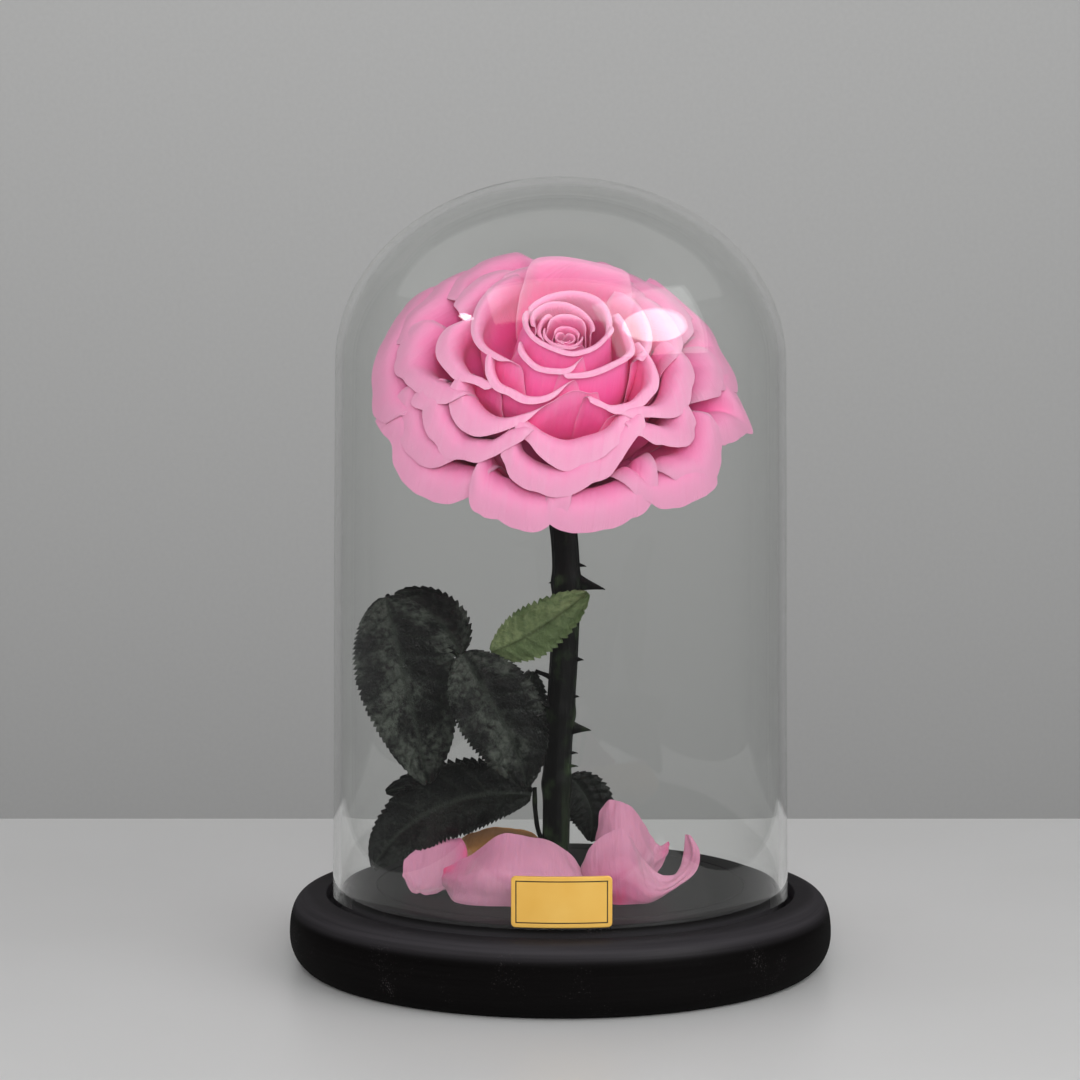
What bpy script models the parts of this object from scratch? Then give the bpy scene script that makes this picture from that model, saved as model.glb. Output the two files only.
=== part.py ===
"""Preserved rose in a glass dome: a dyed rose with leaves and fallen petals on a turned black wooden base.

Metres, +Z up, +X to the viewer's right, and the viewer looks along +Y.
The origin is the middle of the base's underside, on the surface that the part stands on.
Tables of places are in millimetres, and the functions that read them turn them to metres.
"""
import math

import bmesh
import bpy
import numpy as np

MM = 0.001

# Driving dimensions of the case
BASE_RADIUS = 100.0 * MM
BASE_EDGE_HEIGHT = 27.0 * MM
BASE_WIDEST_HEIGHT = 12.2 * MM
BASE_FOOT_RADIUS = 90.8 * MM
BASE_TOP_RADIUS = 97.4 * MM
GROOVE_OUTER_RADIUS = 86.4 * MM
GROOVE_INNER_RADIUS = 79.1 * MM
GROOVE_FLOOR_HEIGHT = 21.5 * MM
PLATEAU_HEIGHT = 29.9 * MM
SCRIBED_RING_RADIUS = 68.0 * MM
SCRIBED_RING_HALF_WIDTH = 0.5 * MM
SCRIBED_RING_DEPTH = 0.4 * MM
BULGE_STEPS = 3
BASE_SEGMENTS = 36

TOUCH_GAP = 0.3 * MM
DOME_FOOT_RADIUS = 84.0 * MM
DOME_SHOULDER_RADIUS = 82.2 * MM
DOME_SHOULDER_HEIGHT = 222.0 * MM
DOME_TOP_HEIGHT = 289.5 * MM
GLASS_THICKNESS = 3.0 * MM
CAP_STEPS = 7
DOME_SEGMENTS = 32

PLATE_WIDTH = 35.0 * MM
PLATE_HEIGHT = 18.0 * MM
PLATE_THICKNESS = 1.0 * MM
PLATE_CORNER_RADIUS = 1.6 * MM
PLATE_FOOT_HEIGHT = 30.2 * MM
PLATE_BENDS = 8

# Driving dimensions of the stem, its thorns and its leaf stalks
STEM_RADIUS = 5.0 * MM
NECK_RADIUS = 4.7 * MM
STEM_SIDES = 8
STALK_RADIUS = 0.9 * MM
STALK_SIDES = 5
THORN_START = 2.75 * MM
THORN_TIP_RADIUS = 0.15 * MM
THORN_SIDES = 5

# Leaves: thickness, rows along the midrib, depth of a tooth as a share of the half width, and the
# outline sin(pi * (LEAF_BASE + LEAF_SPAN * t) ** LEAF_WIDEST) ** LEAF_FULLNESS for t along the midrib
LEAF_THICKNESS = 0.6 * MM
LEAF_ROWS = 12
LEAF_TOOTH_DEPTH = 0.10
LEAF_BASE = 0.02
LEAF_SPAN = 0.96
LEAF_WIDEST = 0.85
LEAF_FULLNESS = 0.8

# Petals: thickness and facets, rows as levels from the claw (0) to the rim (1), the rim's rounding
# 1 - RIM_DROP * |u| ** RIM_POWER for u across, and the claw's width as a share of the widest
PETAL_THICKNESS = 0.6 * MM
PETAL_FACET_DEGREES = 16.0
PETAL_LOWER_ROWS = (0.0, 0.25, 0.48)
PETAL_UPPER_ROWS = (0.42, 0.76, 1.0)
RIM_DROP = 0.34
RIM_POWER = 3.2
CLAW_WIDTH = 0.45
WIDEST_LEVEL = 0.5
FALLEN_PETAL_COLUMNS = 4
MIDLINE_STEPS = 40

# The bloom leans towards the viewer and to the right, and its back petals stand higher
HEAD_CENTRE = np.array([-1.0, -5.0, 211.0]) * MM
HEAD_TILT = math.radians(41.0)
HEAD_LEAN = math.radians(8.0)
HEAD_BACK_LIFT = 6.5 * MM
HEAD_LIFT_REACH = 45.0 * MM
HEAD_LIFT_LIMIT = 1.3

# Finishes: colour, roughness, metallic
BLACK_WOOD = ((0.012, 0.012, 0.013), 0.38, 0.0)
CLEAR_GLASS = ((0.93, 0.95, 0.95), 0.03, 0.0)
GOLD_METAL = ((0.86, 0.60, 0.24), 0.35, 1.0)
STEM_GREEN = ((0.015, 0.022, 0.016), 0.45, 0.0)
LEAF_GREEN = ((0.020, 0.035, 0.026), 0.45, 0.0)
LEAF_PALE = ((0.22, 0.30, 0.13), 0.55, 0.0)
PETAL_PINK = ((0.84, 0.30, 0.50), 0.55, 0.0)
DRY_BROWN = ((0.28, 0.18, 0.07), 0.65, 0.0)

# The petals of the head follow nested cups round its tilted axis. Each row is one cup:
# reach of the rim, then belly, wall and crest as radius and height, then the rim's height (mm).
CUPS = np.array([
    [12.0, 10.0, -3.0, 14.0, 13.0, 13.0, 24.0, 31.0],
    [17.5, 15.0, -4.0, 19.0, 12.0, 18.5, 28.0, 36.5],
    [24.0, 19.0, -6.5, 23.0, 12.0, 22.5, 30.0, 30.5],
    [32.0, 23.0, -9.0, 28.0, 11.0, 28.0, 29.0, 24.5],
    [46.0, 30.0, -14.0, 38.0, 6.0, 40.0, 24.0, 16.0],
    [57.0, 31.0, -18.0, 44.0, 0.0, 49.0, 19.0, 8.0],
    [68.0, 32.0, -24.0, 50.0, -8.0, 60.0, 10.0, -4.0],
    [74.0, 33.0, -27.0, 53.0, -13.0, 66.0, 4.0, -12.0],
])
# The receptacle's cone, which the petals grow from: radius and height where the innermost and the
# outermost cup leave it, and how far the petals stay off it (mm)
CONE_TOP = np.array([2.2, -5.0])
CONE_FOOT = np.array([13.0, -17.0])
CONE_CLEARANCE = 0.7

# Petals of the head, from the middle out: azimuth (0 towards the viewer, + to the right) and
# half span in degrees, then the rim's reach (mm). Petals that overlap differ by about 3 mm.
HEAD_PETALS = [
    (170, 80, 13.4), (-10, 72, 17.5),
    (172, 56, 21.5), (-16, 50, 23.0), (62, 58, 26.5),
    (-98, 58, 33.0), (-25, 42, 36.0), (112, 48, 32.0), (178, 44, 36.5), (50, 40, 39.5),
    (-72, 40, 44.5), (118, 38, 44.5), (-128, 34, 47.5), (-38, 38, 49.5), (76, 34, 49.5),
    (-162, 36, 44.0), (10, 36, 53.0), (163, 34, 50.5), (-142, 32, 54.5), (132, 30, 55.0),
    (57, 24, 55.0), (-78, 30, 58.0), (10, 38, 58.0), (95, 22, 58.5), (180, 32, 60.5),
    (-43, 30, 61.0), (103, 22, 62.5), (-113, 26, 62.5), (-10, 26, 64.2), (155, 30, 64.2),
    (-56, 18, 65.0), (67, 20, 65.5), (18, 27, 67.5), (-165, 32, 67.6), (128, 26, 68.0),
    (-88, 28, 68.4), (86, 18, 70.0), (48, 20, 70.5), (-40, 30, 71.0), (-136, 25, 70.8),
    (170, 25, 71.0),
]

# The heart's rings as radius and height (mm); the rings above HEART_COIL_FLOOR rise and dip by
# HEART_COIL_RISE, turned by HEART_COIL_TURN radians for each millimetre of radius, like a coil
HEART_RINGS = [(2.2, -3.6), (6.0, 2.0), (8.8, 10.0), (9.2, 19.0), (8.8, 27.5), (6.6, 26.0),
               (4.4, 28.5), (2.0, 26.5)]
HEART_SIDES = 12
HEART_COIL_FLOOR = 22.0
HEART_COIL_RISE = 0.9
HEART_COIL_TURN = 1.2

# Way of the stem's middle from its foot to its neck (mm)
STEM_WAY = [
    (-1.8, -0.5, 30.2), (-1.8, -0.5, 36.0), (-1.6, 0.5, 49.0), (-1.0, 3.0, 75.0), (0.4, 5.5, 98.0),
    (1.7, 8.0, 120.0), (2.2, 10.5, 142.0), (1.4, 13.0, 157.0), (-0.8, 15.5, 170.0), (-3.6, 16.3, 181.0),
]
# Receptacle rings on the head's axis: height and radius (mm)
RECEPTACLE = [(-27.0, 4.8), (-23.5, 8.0), (-20.0, 13.0), (-17.0, 13.0), (-5.0, 2.2)]
# Thorns: height of the root, root radius, and the tip's place (mm)
THORNS = [
    (159.5, 0.9, (7.6, 12.5, 158.7)), (147.5, 1.1, (9.6, 10.0, 146.0)),
    (141.2, 3.0, (16.6, 8.0, 137.7)), (140.0, 1.0, (-4.2, 9.0, 140.0)),
    (126.0, 1.6, (3.5, 17.5, 124.0)), (112.4, 1.1, (8.6, 6.5, 111.6)),
    (98.6, 1.0, (7.0, 4.5, 98.2)), (87.4, 2.6, (11.4, 3.5, 85.8)),
    (77.9, 0.9, (6.5, 2.8, 77.4)), (73.0, 0.9, (6.6, 2.2, 72.6)),
    (60.0, 1.6, (-3.0, 11.0, 58.5)),
]
# Leaf stalks, each a way out of the stem or out of another stalk (mm)
STALKS = [
    [(0.5, 5.0, 92.0), (-12.0, -2.0, 100.0), (-24.0, -8.5, 108.0), (-34.0, -10.5, 113.5),
     (-42.0, -10.3, 119.0), (-52.0, -10.0, 127.0), (-59.0, -10.8, 133.5), (-62.9, -13.6, 138.1)],
    [(-34.0, -10.5, 113.5), (-34.5, -12.8, 115.2), (-34.9, -14.6, 117.0)],
    [(-29.0, -9.6, 110.8), (-27.6, -11.8, 114.0), (-26.4, -13.3, 116.2)],
    [(0.8, 6.0, 101.5), (-4.0, 6.6, 105.5), (-9.2, 7.6, 107.5)],
    [(-1.8, 0.0, 40.0), (-7.4, 0.6, 47.0), (-9.2, 1.0, 56.0), (-9.5, 1.7, 65.0)],
    [(-0.5, 3.0, 70.0), (1.0, 8.0, 69.4), (2.4, 10.6, 68.0)],
]

# Leaves: midrib as base, two controls and tip (mm), direction across, half width on the side away
# from that direction and on its side (mm), fold, finish
LEAVES = {
    "leaf_left": (
        [(-63.4, -15.0, 137.6), (-59.5, -16.0, 121.0), (-54.0, -16.0, 98.0), (-48.3, -12.0, 68.7)],
        (0.97, 0.15, 0.17), (18.6, 18.6), 0.16, LEAF_GREEN),
    "leaf_behind": (
        [(-36.0, -8.7, 115.8), (-40.0, -4.0, 124.0), (-48.0, -3.0, 133.0), (-61.0, -3.0, 137.0)],
        (0.65, 0.10, 0.75), (10.0, 10.5), 0.10, LEAF_GREEN),
    "leaf_middle": (
        [(-35.4, -16.2, 117.2), (-28.0, -22.5, 104.0), (-15.5, -22.0, 88.0), (-12.5, -16.5, 68.3)],
        (0.86, 0.10, 0.50), (16.0, 16.0), 0.14, LEAF_GREEN),
    "leaf_small": (
        [(-25.2, -14.2, 117.4), (-14.0, -16.5, 121.0), (-2.0, -16.5, 130.0), (9.8, -12.0, 138.8)],
        (0.52, 0.05, -0.85), (10.0, 10.0), 0.10, LEAF_PALE),
    "leaf_by_stem": (
        [(-10.4, 8.4, 107.2), (-12.0, 10.0, 97.0), (-11.0, 13.0, 84.0), (-9.5, 13.0, 70.0)],
        (0.98, 0.20, 0.05), (7.0, 7.5), 0.12, LEAF_GREEN),
    "leaf_low_back": (
        [(-10.6, 3.0, 66.4), (-26.0, 5.0, 67.5), (-45.0, 7.0, 68.5), (-65.0, 6.0, 62.5)],
        (0.05, 0.15, 1.0), (8.5, 8.5), 0.12, LEAF_GREEN),
    "leaf_low_front": (
        [(-10.7, -0.4, 62.4), (-32.0, -4.5, 67.0), (-58.0, -6.0, 58.0), (-69.4, -2.0, 35.6)],
        (-0.35, -0.10, 0.93), (14.5, 14.0), 0.12, LEAF_GREEN),
    "leaf_low_right": (
        [(3.4, 11.6, 67.0), (10.0, 15.0, 62.0), (14.5, 16.0, 52.0), (11.0, 15.0, 42.5)],
        (0.88, 0.25, 0.40), (8.5, 8.5), 0.14, LEAF_GREEN),
}

# Fallen petals: midline as claw, two controls and tip (mm), direction across, half width (mm), cup, finish
FALLEN_PETALS = {
    "fallen_petal_front_left": (
        [(-42.0, -33.0, 43.0), (-33.0, -47.0, 42.0), (-12.0, -52.0, 42.0), (8.0, -42.0, 41.0)],
        (0.0, 0.35, 1.0), 13.0, 0.55, PETAL_PINK),
    "fallen_petal_left": (
        [(-32.5, 4.0, 41.0), (-39.0, 4.0, 31.0), (-52.0, -8.0, 31.0), (-49.0, -26.0, 33.5)],
        (0.85, -0.35, 0.15), 12.0, 0.60, PETAL_PINK),
    "fallen_petal_front_right": (
        [(46.0, -25.0, 50.0), (51.0, -32.0, 30.0), (30.0, -46.0, 33.0), (12.0, -37.0, 43.0)],
        (-0.70, 0.50, 0.60), 12.0, 0.35, PETAL_PINK),
    "fallen_petal_back_right": (
        [(40.0, 2.0, 46.0), (37.0, 9.0, 36.0), (26.0, 12.0, 38.0), (13.0, 6.0, 48.0)],
        (0.45, 0.05, 0.90), 14.0, 0.50, PETAL_PINK),
    "fallen_petal_behind": (
        [(-38.0, 16.0, 33.0), (-30.0, 22.0, 40.0), (-14.0, 24.0, 41.0), (-6.0, 16.0, 38.0)],
        (0.0, 0.30, 1.0), 8.0, 0.40, DRY_BROWN),
}

# Angles (degrees) past which an edge stays sharp
SHARP_WOOD = 30.0
SHARP_HEART = 50.0
SHARP_ROUND = 60.0
SHARP_SHEET = 80.0


def clear_scene():
    """Removes every object that the file starts with."""
    for item in list(bpy.data.objects):
        bpy.data.objects.remove(item, do_unlink=True)


def make_material(name, finish):
    """A Principled material from (colour, roughness, metallic)."""
    colour, roughness, metallic = finish
    material = bpy.data.materials.new(name)
    material.use_nodes = True
    shader = material.node_tree.nodes["Principled BSDF"]
    shader.inputs["Base Color"].default_value = (*colour, 1.0)
    shader.inputs["Roughness"].default_value = roughness
    shader.inputs["Metallic"].default_value = metallic
    if finish is CLEAR_GLASS:
        shader.inputs["Transmission Weight"].default_value = 1.0
    return material


def add_object(name, work, finish, sharp_degrees):
    """Turns a bmesh into one named, smooth-shaded piece with its own material."""
    mesh = bpy.data.meshes.new(name)
    work.to_mesh(mesh)
    work.free()
    mesh.shade_smooth()
    mesh.set_sharp_from_angle(angle=math.radians(sharp_degrees))
    mesh.materials.append(make_material(name + "_finish", finish))
    item = bpy.data.objects.new(name, mesh)
    bpy.context.scene.collection.objects.link(item)
    return item


def join(item, guide, name):
    """Unites a hidden guide with an object."""
    guide.hide_render = True
    guide.display_type = "WIRE"
    union = item.modifiers.new(name, "BOOLEAN")
    union.operation = "UNION"
    union.solver = "EXACT"
    union.object = guide


def arc(centre, radii, start_degrees, end_degrees, steps):
    """Points on an ellipse's arc, both ends included."""
    angles = np.radians(np.linspace(start_degrees, end_degrees, steps + 1))
    return [(centre[0] + radii[0] * math.cos(a), centre[1] + radii[1] * math.sin(a)) for a in angles]


def turned(profile, segments):
    """Turns an open profile, whose two ends lie on the Z axis, once round it."""
    work = bmesh.new()
    points = [work.verts.new((radius, 0.0, height)) for radius, height in profile]
    edges = [work.edges.new(pair) for pair in zip(points, points[1:])]
    bmesh.ops.spin(work, geom=points + edges, cent=(0, 0, 0), axis=(0, 0, 1),
                   angle=2 * math.pi, steps=segments, use_merge=True)
    bmesh.ops.remove_doubles(work, verts=work.verts[:], dist=0.001 * MM)
    bmesh.ops.recalc_face_normals(work, faces=work.faces[:])
    return work


def make_base():
    """Turned base: bulging side, flat rim, groove for the glass, raised plateau with a scribed ring."""
    low_bulge = arc((BASE_FOOT_RADIUS, BASE_WIDEST_HEIGHT),
                    (BASE_RADIUS - BASE_FOOT_RADIUS, BASE_WIDEST_HEIGHT), -90, 0, BULGE_STEPS)
    high_bulge = arc((BASE_TOP_RADIUS, BASE_WIDEST_HEIGHT),
                     (BASE_RADIUS - BASE_TOP_RADIUS, BASE_EDGE_HEIGHT - BASE_WIDEST_HEIGHT),
                     0, 90, BULGE_STEPS)
    groove = [(GROOVE_OUTER_RADIUS, BASE_EDGE_HEIGHT), (GROOVE_OUTER_RADIUS, GROOVE_FLOOR_HEIGHT),
              (GROOVE_INNER_RADIUS, GROOVE_FLOOR_HEIGHT), (GROOVE_INNER_RADIUS, PLATEAU_HEIGHT)]
    scribed_ring = [(SCRIBED_RING_RADIUS + SCRIBED_RING_HALF_WIDTH, PLATEAU_HEIGHT),
                    (SCRIBED_RING_RADIUS, PLATEAU_HEIGHT - SCRIBED_RING_DEPTH),
                    (SCRIBED_RING_RADIUS - SCRIBED_RING_HALF_WIDTH, PLATEAU_HEIGHT)]
    profile = ([(0.0, 0.0)] + low_bulge + high_bulge[1:] + groove + scribed_ring
               + [(0.0, PLATEAU_HEIGHT)])
    add_object("wooden_base", turned(profile, BASE_SEGMENTS), BLACK_WOOD, SHARP_WOOD)


def dome_profile(inset):
    """The dome's side and elliptical cap, from its foot to its top, moved in by inset."""
    foot = (DOME_FOOT_RADIUS - inset, GROOVE_FLOOR_HEIGHT + TOUCH_GAP)
    cap = arc((0.0, DOME_SHOULDER_HEIGHT),
              (DOME_SHOULDER_RADIUS - inset, DOME_TOP_HEIGHT - DOME_SHOULDER_HEIGHT - inset),
              0, 90, CAP_STEPS)
    cap[-1] = (0.0, cap[-1][1])
    return [foot] + cap


def make_dome():
    """Glass bell, open below, that stands in the base's groove."""
    profile = dome_profile(0.0)[::-1] + dome_profile(GLASS_THICKNESS)
    add_object("glass_dome", turned(profile, DOME_SEGMENTS), CLEAR_GLASS, SHARP_ROUND)


def add_sheet(name, grid, finish, thickness, offset=0.0):
    """A thin sheet over a grid of points, thickened to both sides, or to one with offset 1 or -1."""
    rows, columns = grid.shape[:2]
    work = bmesh.new()
    points = [work.verts.new(point) for point in grid.reshape(-1, 3)]
    for row in range(rows - 1):
        for column in range(columns - 1):
            low = row * columns + column
            high = low + columns
            work.faces.new((points[low], points[low + 1], points[high + 1], points[high]))
    item = add_object(name, work, finish, SHARP_SHEET)
    solidify = item.modifiers.new("thickness", "SOLIDIFY")
    solidify.thickness = thickness
    solidify.offset = offset


def make_plate():
    """Small metal plate with rounded corners, bent to lie on the glass at the front of its foot."""
    corner = [PLATE_CORNER_RADIUS * (1 - math.cos(a)) for a in np.radians([0, 45, 90])]
    right = PLATE_WIDTH / 2 - np.array(corner)
    middle = np.linspace(-right[-1], right[-1], PLATE_BENDS)[1:-1]
    across = np.concatenate([-right, middle, right[::-1]])
    inset = np.maximum(np.abs(across) - right[-1], 0.0)
    rounding = np.sqrt(np.maximum(PLATE_CORNER_RADIUS ** 2 - inset ** 2, 0.0))
    half_height = PLATE_HEIGHT / 2 - PLATE_CORNER_RADIUS + rounding
    radius = DOME_FOOT_RADIUS + TOUCH_GAP
    angle = across / radius
    rows = [np.stack([radius * np.sin(angle), -radius * np.cos(angle),
                      PLATE_FOOT_HEIGHT + PLATE_HEIGHT / 2 + side * half_height], -1) for side in (-1, 1)]
    add_sheet("name_plate", np.array(rows), GOLD_METAL, PLATE_THICKNESS, offset=1.0)


def bezier(controls, t):
    """Points at t on a Bezier curve of any degree; t is an array."""
    controls = np.asarray(controls, float)
    degree = len(controls) - 1
    t = np.asarray(t, float)[..., None]
    return sum(math.comb(degree, k) * (1 - t) ** (degree - k) * t ** k * controls[k]
               for k in range(degree + 1))


def cup_profile(reach, v):
    """Radius and height (mm) on the cup of the given rim reach, v from 0 at its root to 1 at its rim."""
    belly_r, belly_h, wall_r, wall_h, crest_r, crest_h, rim_h = (
        np.interp(reach, CUPS[:, 0], column) for column in CUPS.T[1:])
    share = (reach - CUPS[0, 0]) / (CUPS[-1, 0] - CUPS[0, 0])
    along = CONE_FOOT - CONE_TOP
    outward = np.array([-along[1], along[0]]) / np.linalg.norm(along)
    root = CONE_TOP + share * along + CONE_CLEARANCE * outward
    return bezier([root, (belly_r, belly_h), (wall_r, wall_h), (crest_r, crest_h), (reach, rim_h)], v)


def head_axes():
    """Unit vectors of the head: to its right, to its front and along its axis."""
    c, s = math.cos(HEAD_LEAN), math.sin(HEAD_LEAN)
    lean = np.array([[c, 0.0, s], [0.0, 1.0, 0.0], [-s, 0.0, c]])
    right = np.array([1.0, 0.0, 0.0])
    front = np.array([0.0, -math.cos(HEAD_TILT), -math.sin(HEAD_TILT)])
    axis = np.array([0.0, -math.sin(HEAD_TILT), math.cos(HEAD_TILT)])
    return lean @ right, lean @ front, lean @ axis


def head_point(radius, azimuth, height):
    """Metres in the part's frame from the head's own radius, azimuth and height (m, radians, m)."""
    right, front, axis = head_axes()
    far = np.clip(radius / HEAD_LIFT_REACH, 0, HEAD_LIFT_LIMIT)
    lift = HEAD_BACK_LIFT * far ** 2 * (1 - np.cos(azimuth)) / 2
    radius, azimuth, height = radius[..., None], azimuth[..., None], (height + lift)[..., None]
    return HEAD_CENTRE + radius * (np.sin(azimuth) * right + np.cos(azimuth) * front) + height * axis


def petal_frame(columns):
    """Grid over a petal: u from -1 to 1 across, v from 0 at the claw to the rounded rim.

    The lower rows lie at the same v on every petal, so that nested petals stay an even way apart.
    """
    across = np.linspace(-1, 1, columns + 1)
    rim = 1 - RIM_DROP * np.abs(across) ** RIM_POWER
    lower = [np.full_like(across, level) for level in PETAL_LOWER_ROWS]
    top_level = PETAL_LOWER_ROWS[-1]
    upper = [top_level + (rim - top_level) * share for share in PETAL_UPPER_ROWS]
    return np.tile(across, (len(lower) + len(upper), 1)), np.array(lower + upper)


def petal_width(v):
    """Width of a petal as a share of its widest, narrow at the claw."""
    return CLAW_WIDTH + (1 - CLAW_WIDTH) * np.sin(np.clip(v / WIDEST_LEVEL, 0, 1) * math.pi / 2)


def make_head_petals():
    """The petals of the bloom, each on a cup of its own, so that none crosses another."""
    for number, (azimuth, half_span, reach) in enumerate(HEAD_PETALS, 1):
        u, v = petal_frame(math.ceil(2 * half_span / PETAL_FACET_DEGREES))
        profile = cup_profile(reach, v) * MM
        angle = math.radians(azimuth) + math.radians(half_span) * u * petal_width(v)
        grid = head_point(profile[..., 0], angle, profile[..., 1])
        add_sheet("petal_%02d" % number, grid, PETAL_PINK, PETAL_THICKNESS)


def close_loops(work, loops):
    """Skins a stack of rings and closes both its ends."""
    for low, high in zip(loops, loops[1:]):
        for index in range(len(low)):
            following = (index + 1) % len(low)
            work.faces.new((low[index], low[following], high[following], high[index]))
    work.faces.new(loops[0][::-1])
    work.faces.new(loops[-1])
    bmesh.ops.recalc_face_normals(work, faces=work.faces[:])


def make_heart():
    """The closed middle of the bloom, with the coil of its innermost petals in its top."""
    work = bmesh.new()
    angle = np.linspace(0, 2 * math.pi, HEART_SIDES, endpoint=False)
    loops = []
    for radius, height in HEART_RINGS:
        coil = HEART_COIL_RISE * np.cos(angle - radius * HEART_COIL_TURN)
        if height < HEART_COIL_FLOOR:
            coil = np.zeros(HEART_SIDES)
        places = head_point(np.full(HEART_SIDES, radius * MM), angle, (height + coil) * MM)
        loops.append([work.verts.new(place) for place in places])
    close_loops(work, loops)
    add_object("bloom_heart", work, PETAL_PINK, SHARP_HEART)


def tube_rings(work, way, radii, sides):
    """Rings of a tube along a way, each turned the least from the one before."""
    way = np.asarray(way, float)
    tangents = np.gradient(way, axis=0)
    tangents /= np.linalg.norm(tangents, axis=1)[:, None]
    across = np.cross(tangents[0], (0.0, 1.0, 0.0))
    loops = []
    for place, tangent, radius in zip(way, tangents, radii):
        across = across - tangent * np.dot(across, tangent)
        across /= np.linalg.norm(across)
        other = np.cross(tangent, across)
        angles = np.linspace(0, 2 * math.pi, sides, endpoint=False)
        loops.append([work.verts.new(place + radius * (math.cos(a) * across + math.sin(a) * other))
                      for a in angles])
    return loops


def stem_place(height):
    """The stem's middle at a height, both in metres."""
    way = np.array(STEM_WAY) * MM
    x, y = (np.interp(height, way[:, 2], way[:, axis]) for axis in (0, 1))
    return np.array([x, y, height])


def make_stem():
    """Stem that widens into the receptacle under the bloom, with its thorns and leaf stalks."""
    way = [np.array(place) * MM for place in STEM_WAY]
    radii = [STEM_RADIUS] * (len(way) - 1) + [NECK_RADIUS]
    for height, radius in RECEPTACLE:
        way.append(HEAD_CENTRE + height * MM * head_axes()[2])
        radii.append(radius * MM)
    work = bmesh.new()
    close_loops(work, tube_rings(work, way, radii, STEM_SIDES))
    stem = add_object("stem", work, STEM_GREEN, SHARP_ROUND)

    thorns = bmesh.new()
    for height, root_radius, tip in THORNS:
        root = stem_place(height * MM)
        tip = np.array(tip) * MM
        outward = (tip - root) / np.linalg.norm(tip - root)
        start = root + outward * THORN_START
        radii = [root_radius * MM, THORN_TIP_RADIUS]
        close_loops(thorns, tube_rings(thorns, [start, tip], radii, THORN_SIDES))
    join(stem, add_object("thorn_guide", thorns, STEM_GREEN, SHARP_ROUND), "thorns")
    for number, stalk in enumerate(STALKS):
        piece = bmesh.new()
        route = np.array(stalk) * MM
        close_loops(piece, tube_rings(piece, route, [STALK_RADIUS] * len(route), STALK_SIDES))
        join(stem, add_object("stalk_guide_%d" % number, piece, STEM_GREEN, SHARP_ROUND), "stalk_%d" % number)


def across_and_normal(line, direction):
    """At each point of a midline: the unit vector across it nearest to a direction, and the face normal."""
    tangents = np.gradient(line, axis=0)
    tangents /= np.linalg.norm(tangents, axis=-1, keepdims=True)
    direction = np.asarray(direction, float)
    across = direction - tangents * (tangents @ direction)[:, None]
    across /= np.linalg.norm(across, axis=-1, keepdims=True)
    return across, np.cross(tangents, across)


def make_leaves():
    """Rose leaflets: pointed ovals with a toothed margin, folded a little along the midrib."""
    for name, (midrib, direction, halves, fold, finish) in LEAVES.items():
        t = np.linspace(0, 1, LEAF_ROWS + 1)
        line = bezier(midrib, t)
        across, normal = across_and_normal(line, direction)
        outline = np.sin(math.pi * (LEAF_BASE + LEAF_SPAN * t) ** LEAF_WIDEST) ** LEAF_FULLNESS
        toothed = outline * (1 - LEAF_TOOTH_DEPTH * (np.arange(LEAF_ROWS + 1) % 2))
        edges = []
        for side, half_width in zip((-1, 1), halves):
            half = (half_width * toothed)[:, None]
            edges.append(line + side * across * half + normal * fold * half)
        add_sheet(name, np.stack([edges[0], line, edges[1]], 1) * MM, finish, LEAF_THICKNESS)


def make_fallen_petals():
    """Petals that have dropped on the plateau, each cupped along its midline."""
    for name, (midline, direction, half_width, cup, finish) in FALLEN_PETALS.items():
        u, v = petal_frame(FALLEN_PETAL_COLUMNS)
        t = np.linspace(0, 1, MIDLINE_STEPS + 1)
        line = bezier(midline, t)
        across, normal = across_and_normal(line, direction)
        place, side, up = (np.stack([np.interp(v, t, part[:, k]) for k in range(3)], -1)
                           for part in (line, across, normal))
        out = half_width * u * petal_width(v)
        grid = place + side * out[..., None] + up * (cup * out ** 2 / half_width)[..., None]
        grid *= MM
        grid[..., 2] += PLATEAU_HEIGHT + TOUCH_GAP + PETAL_THICKNESS / 2 - grid[..., 2].min()
        add_sheet(name, grid, finish, PETAL_THICKNESS)


clear_scene()
make_base()
make_dome()
make_plate()
make_stem()
make_heart()
make_head_petals()
make_leaves()
make_fallen_petals()
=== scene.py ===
"""Looks of a preserved rose in a glass dome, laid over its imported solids.

Metres, +Z up, +X to the viewer's right, and the viewer looks along +Y.
The origin is the middle of the base's underside.
Tables and shapes are in millimetres, which add_piece turns to metres. The stage is in metres.
"""
import math

import bpy
import numpy as np
from mathutils import Matrix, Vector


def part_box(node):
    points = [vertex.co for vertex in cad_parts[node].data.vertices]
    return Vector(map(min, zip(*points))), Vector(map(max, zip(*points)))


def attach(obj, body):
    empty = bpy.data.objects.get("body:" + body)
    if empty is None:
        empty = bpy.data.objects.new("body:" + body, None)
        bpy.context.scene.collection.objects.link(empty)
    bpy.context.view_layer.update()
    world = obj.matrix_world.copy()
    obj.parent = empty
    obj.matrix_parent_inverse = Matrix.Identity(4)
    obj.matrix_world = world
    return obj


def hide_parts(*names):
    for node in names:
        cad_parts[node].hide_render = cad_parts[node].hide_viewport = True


bl_info = {
    "name": "Preserved rose in a glass dome",
    "version": (1, 0, 0),
    "blender": (4, 5, 0),
    "location": "3D View > Sidebar > Rose dome",
    "description": "A dyed rose with its leaves and fallen petals in a glass bell on a turned black base",
    "category": "Add Mesh",
}

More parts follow.
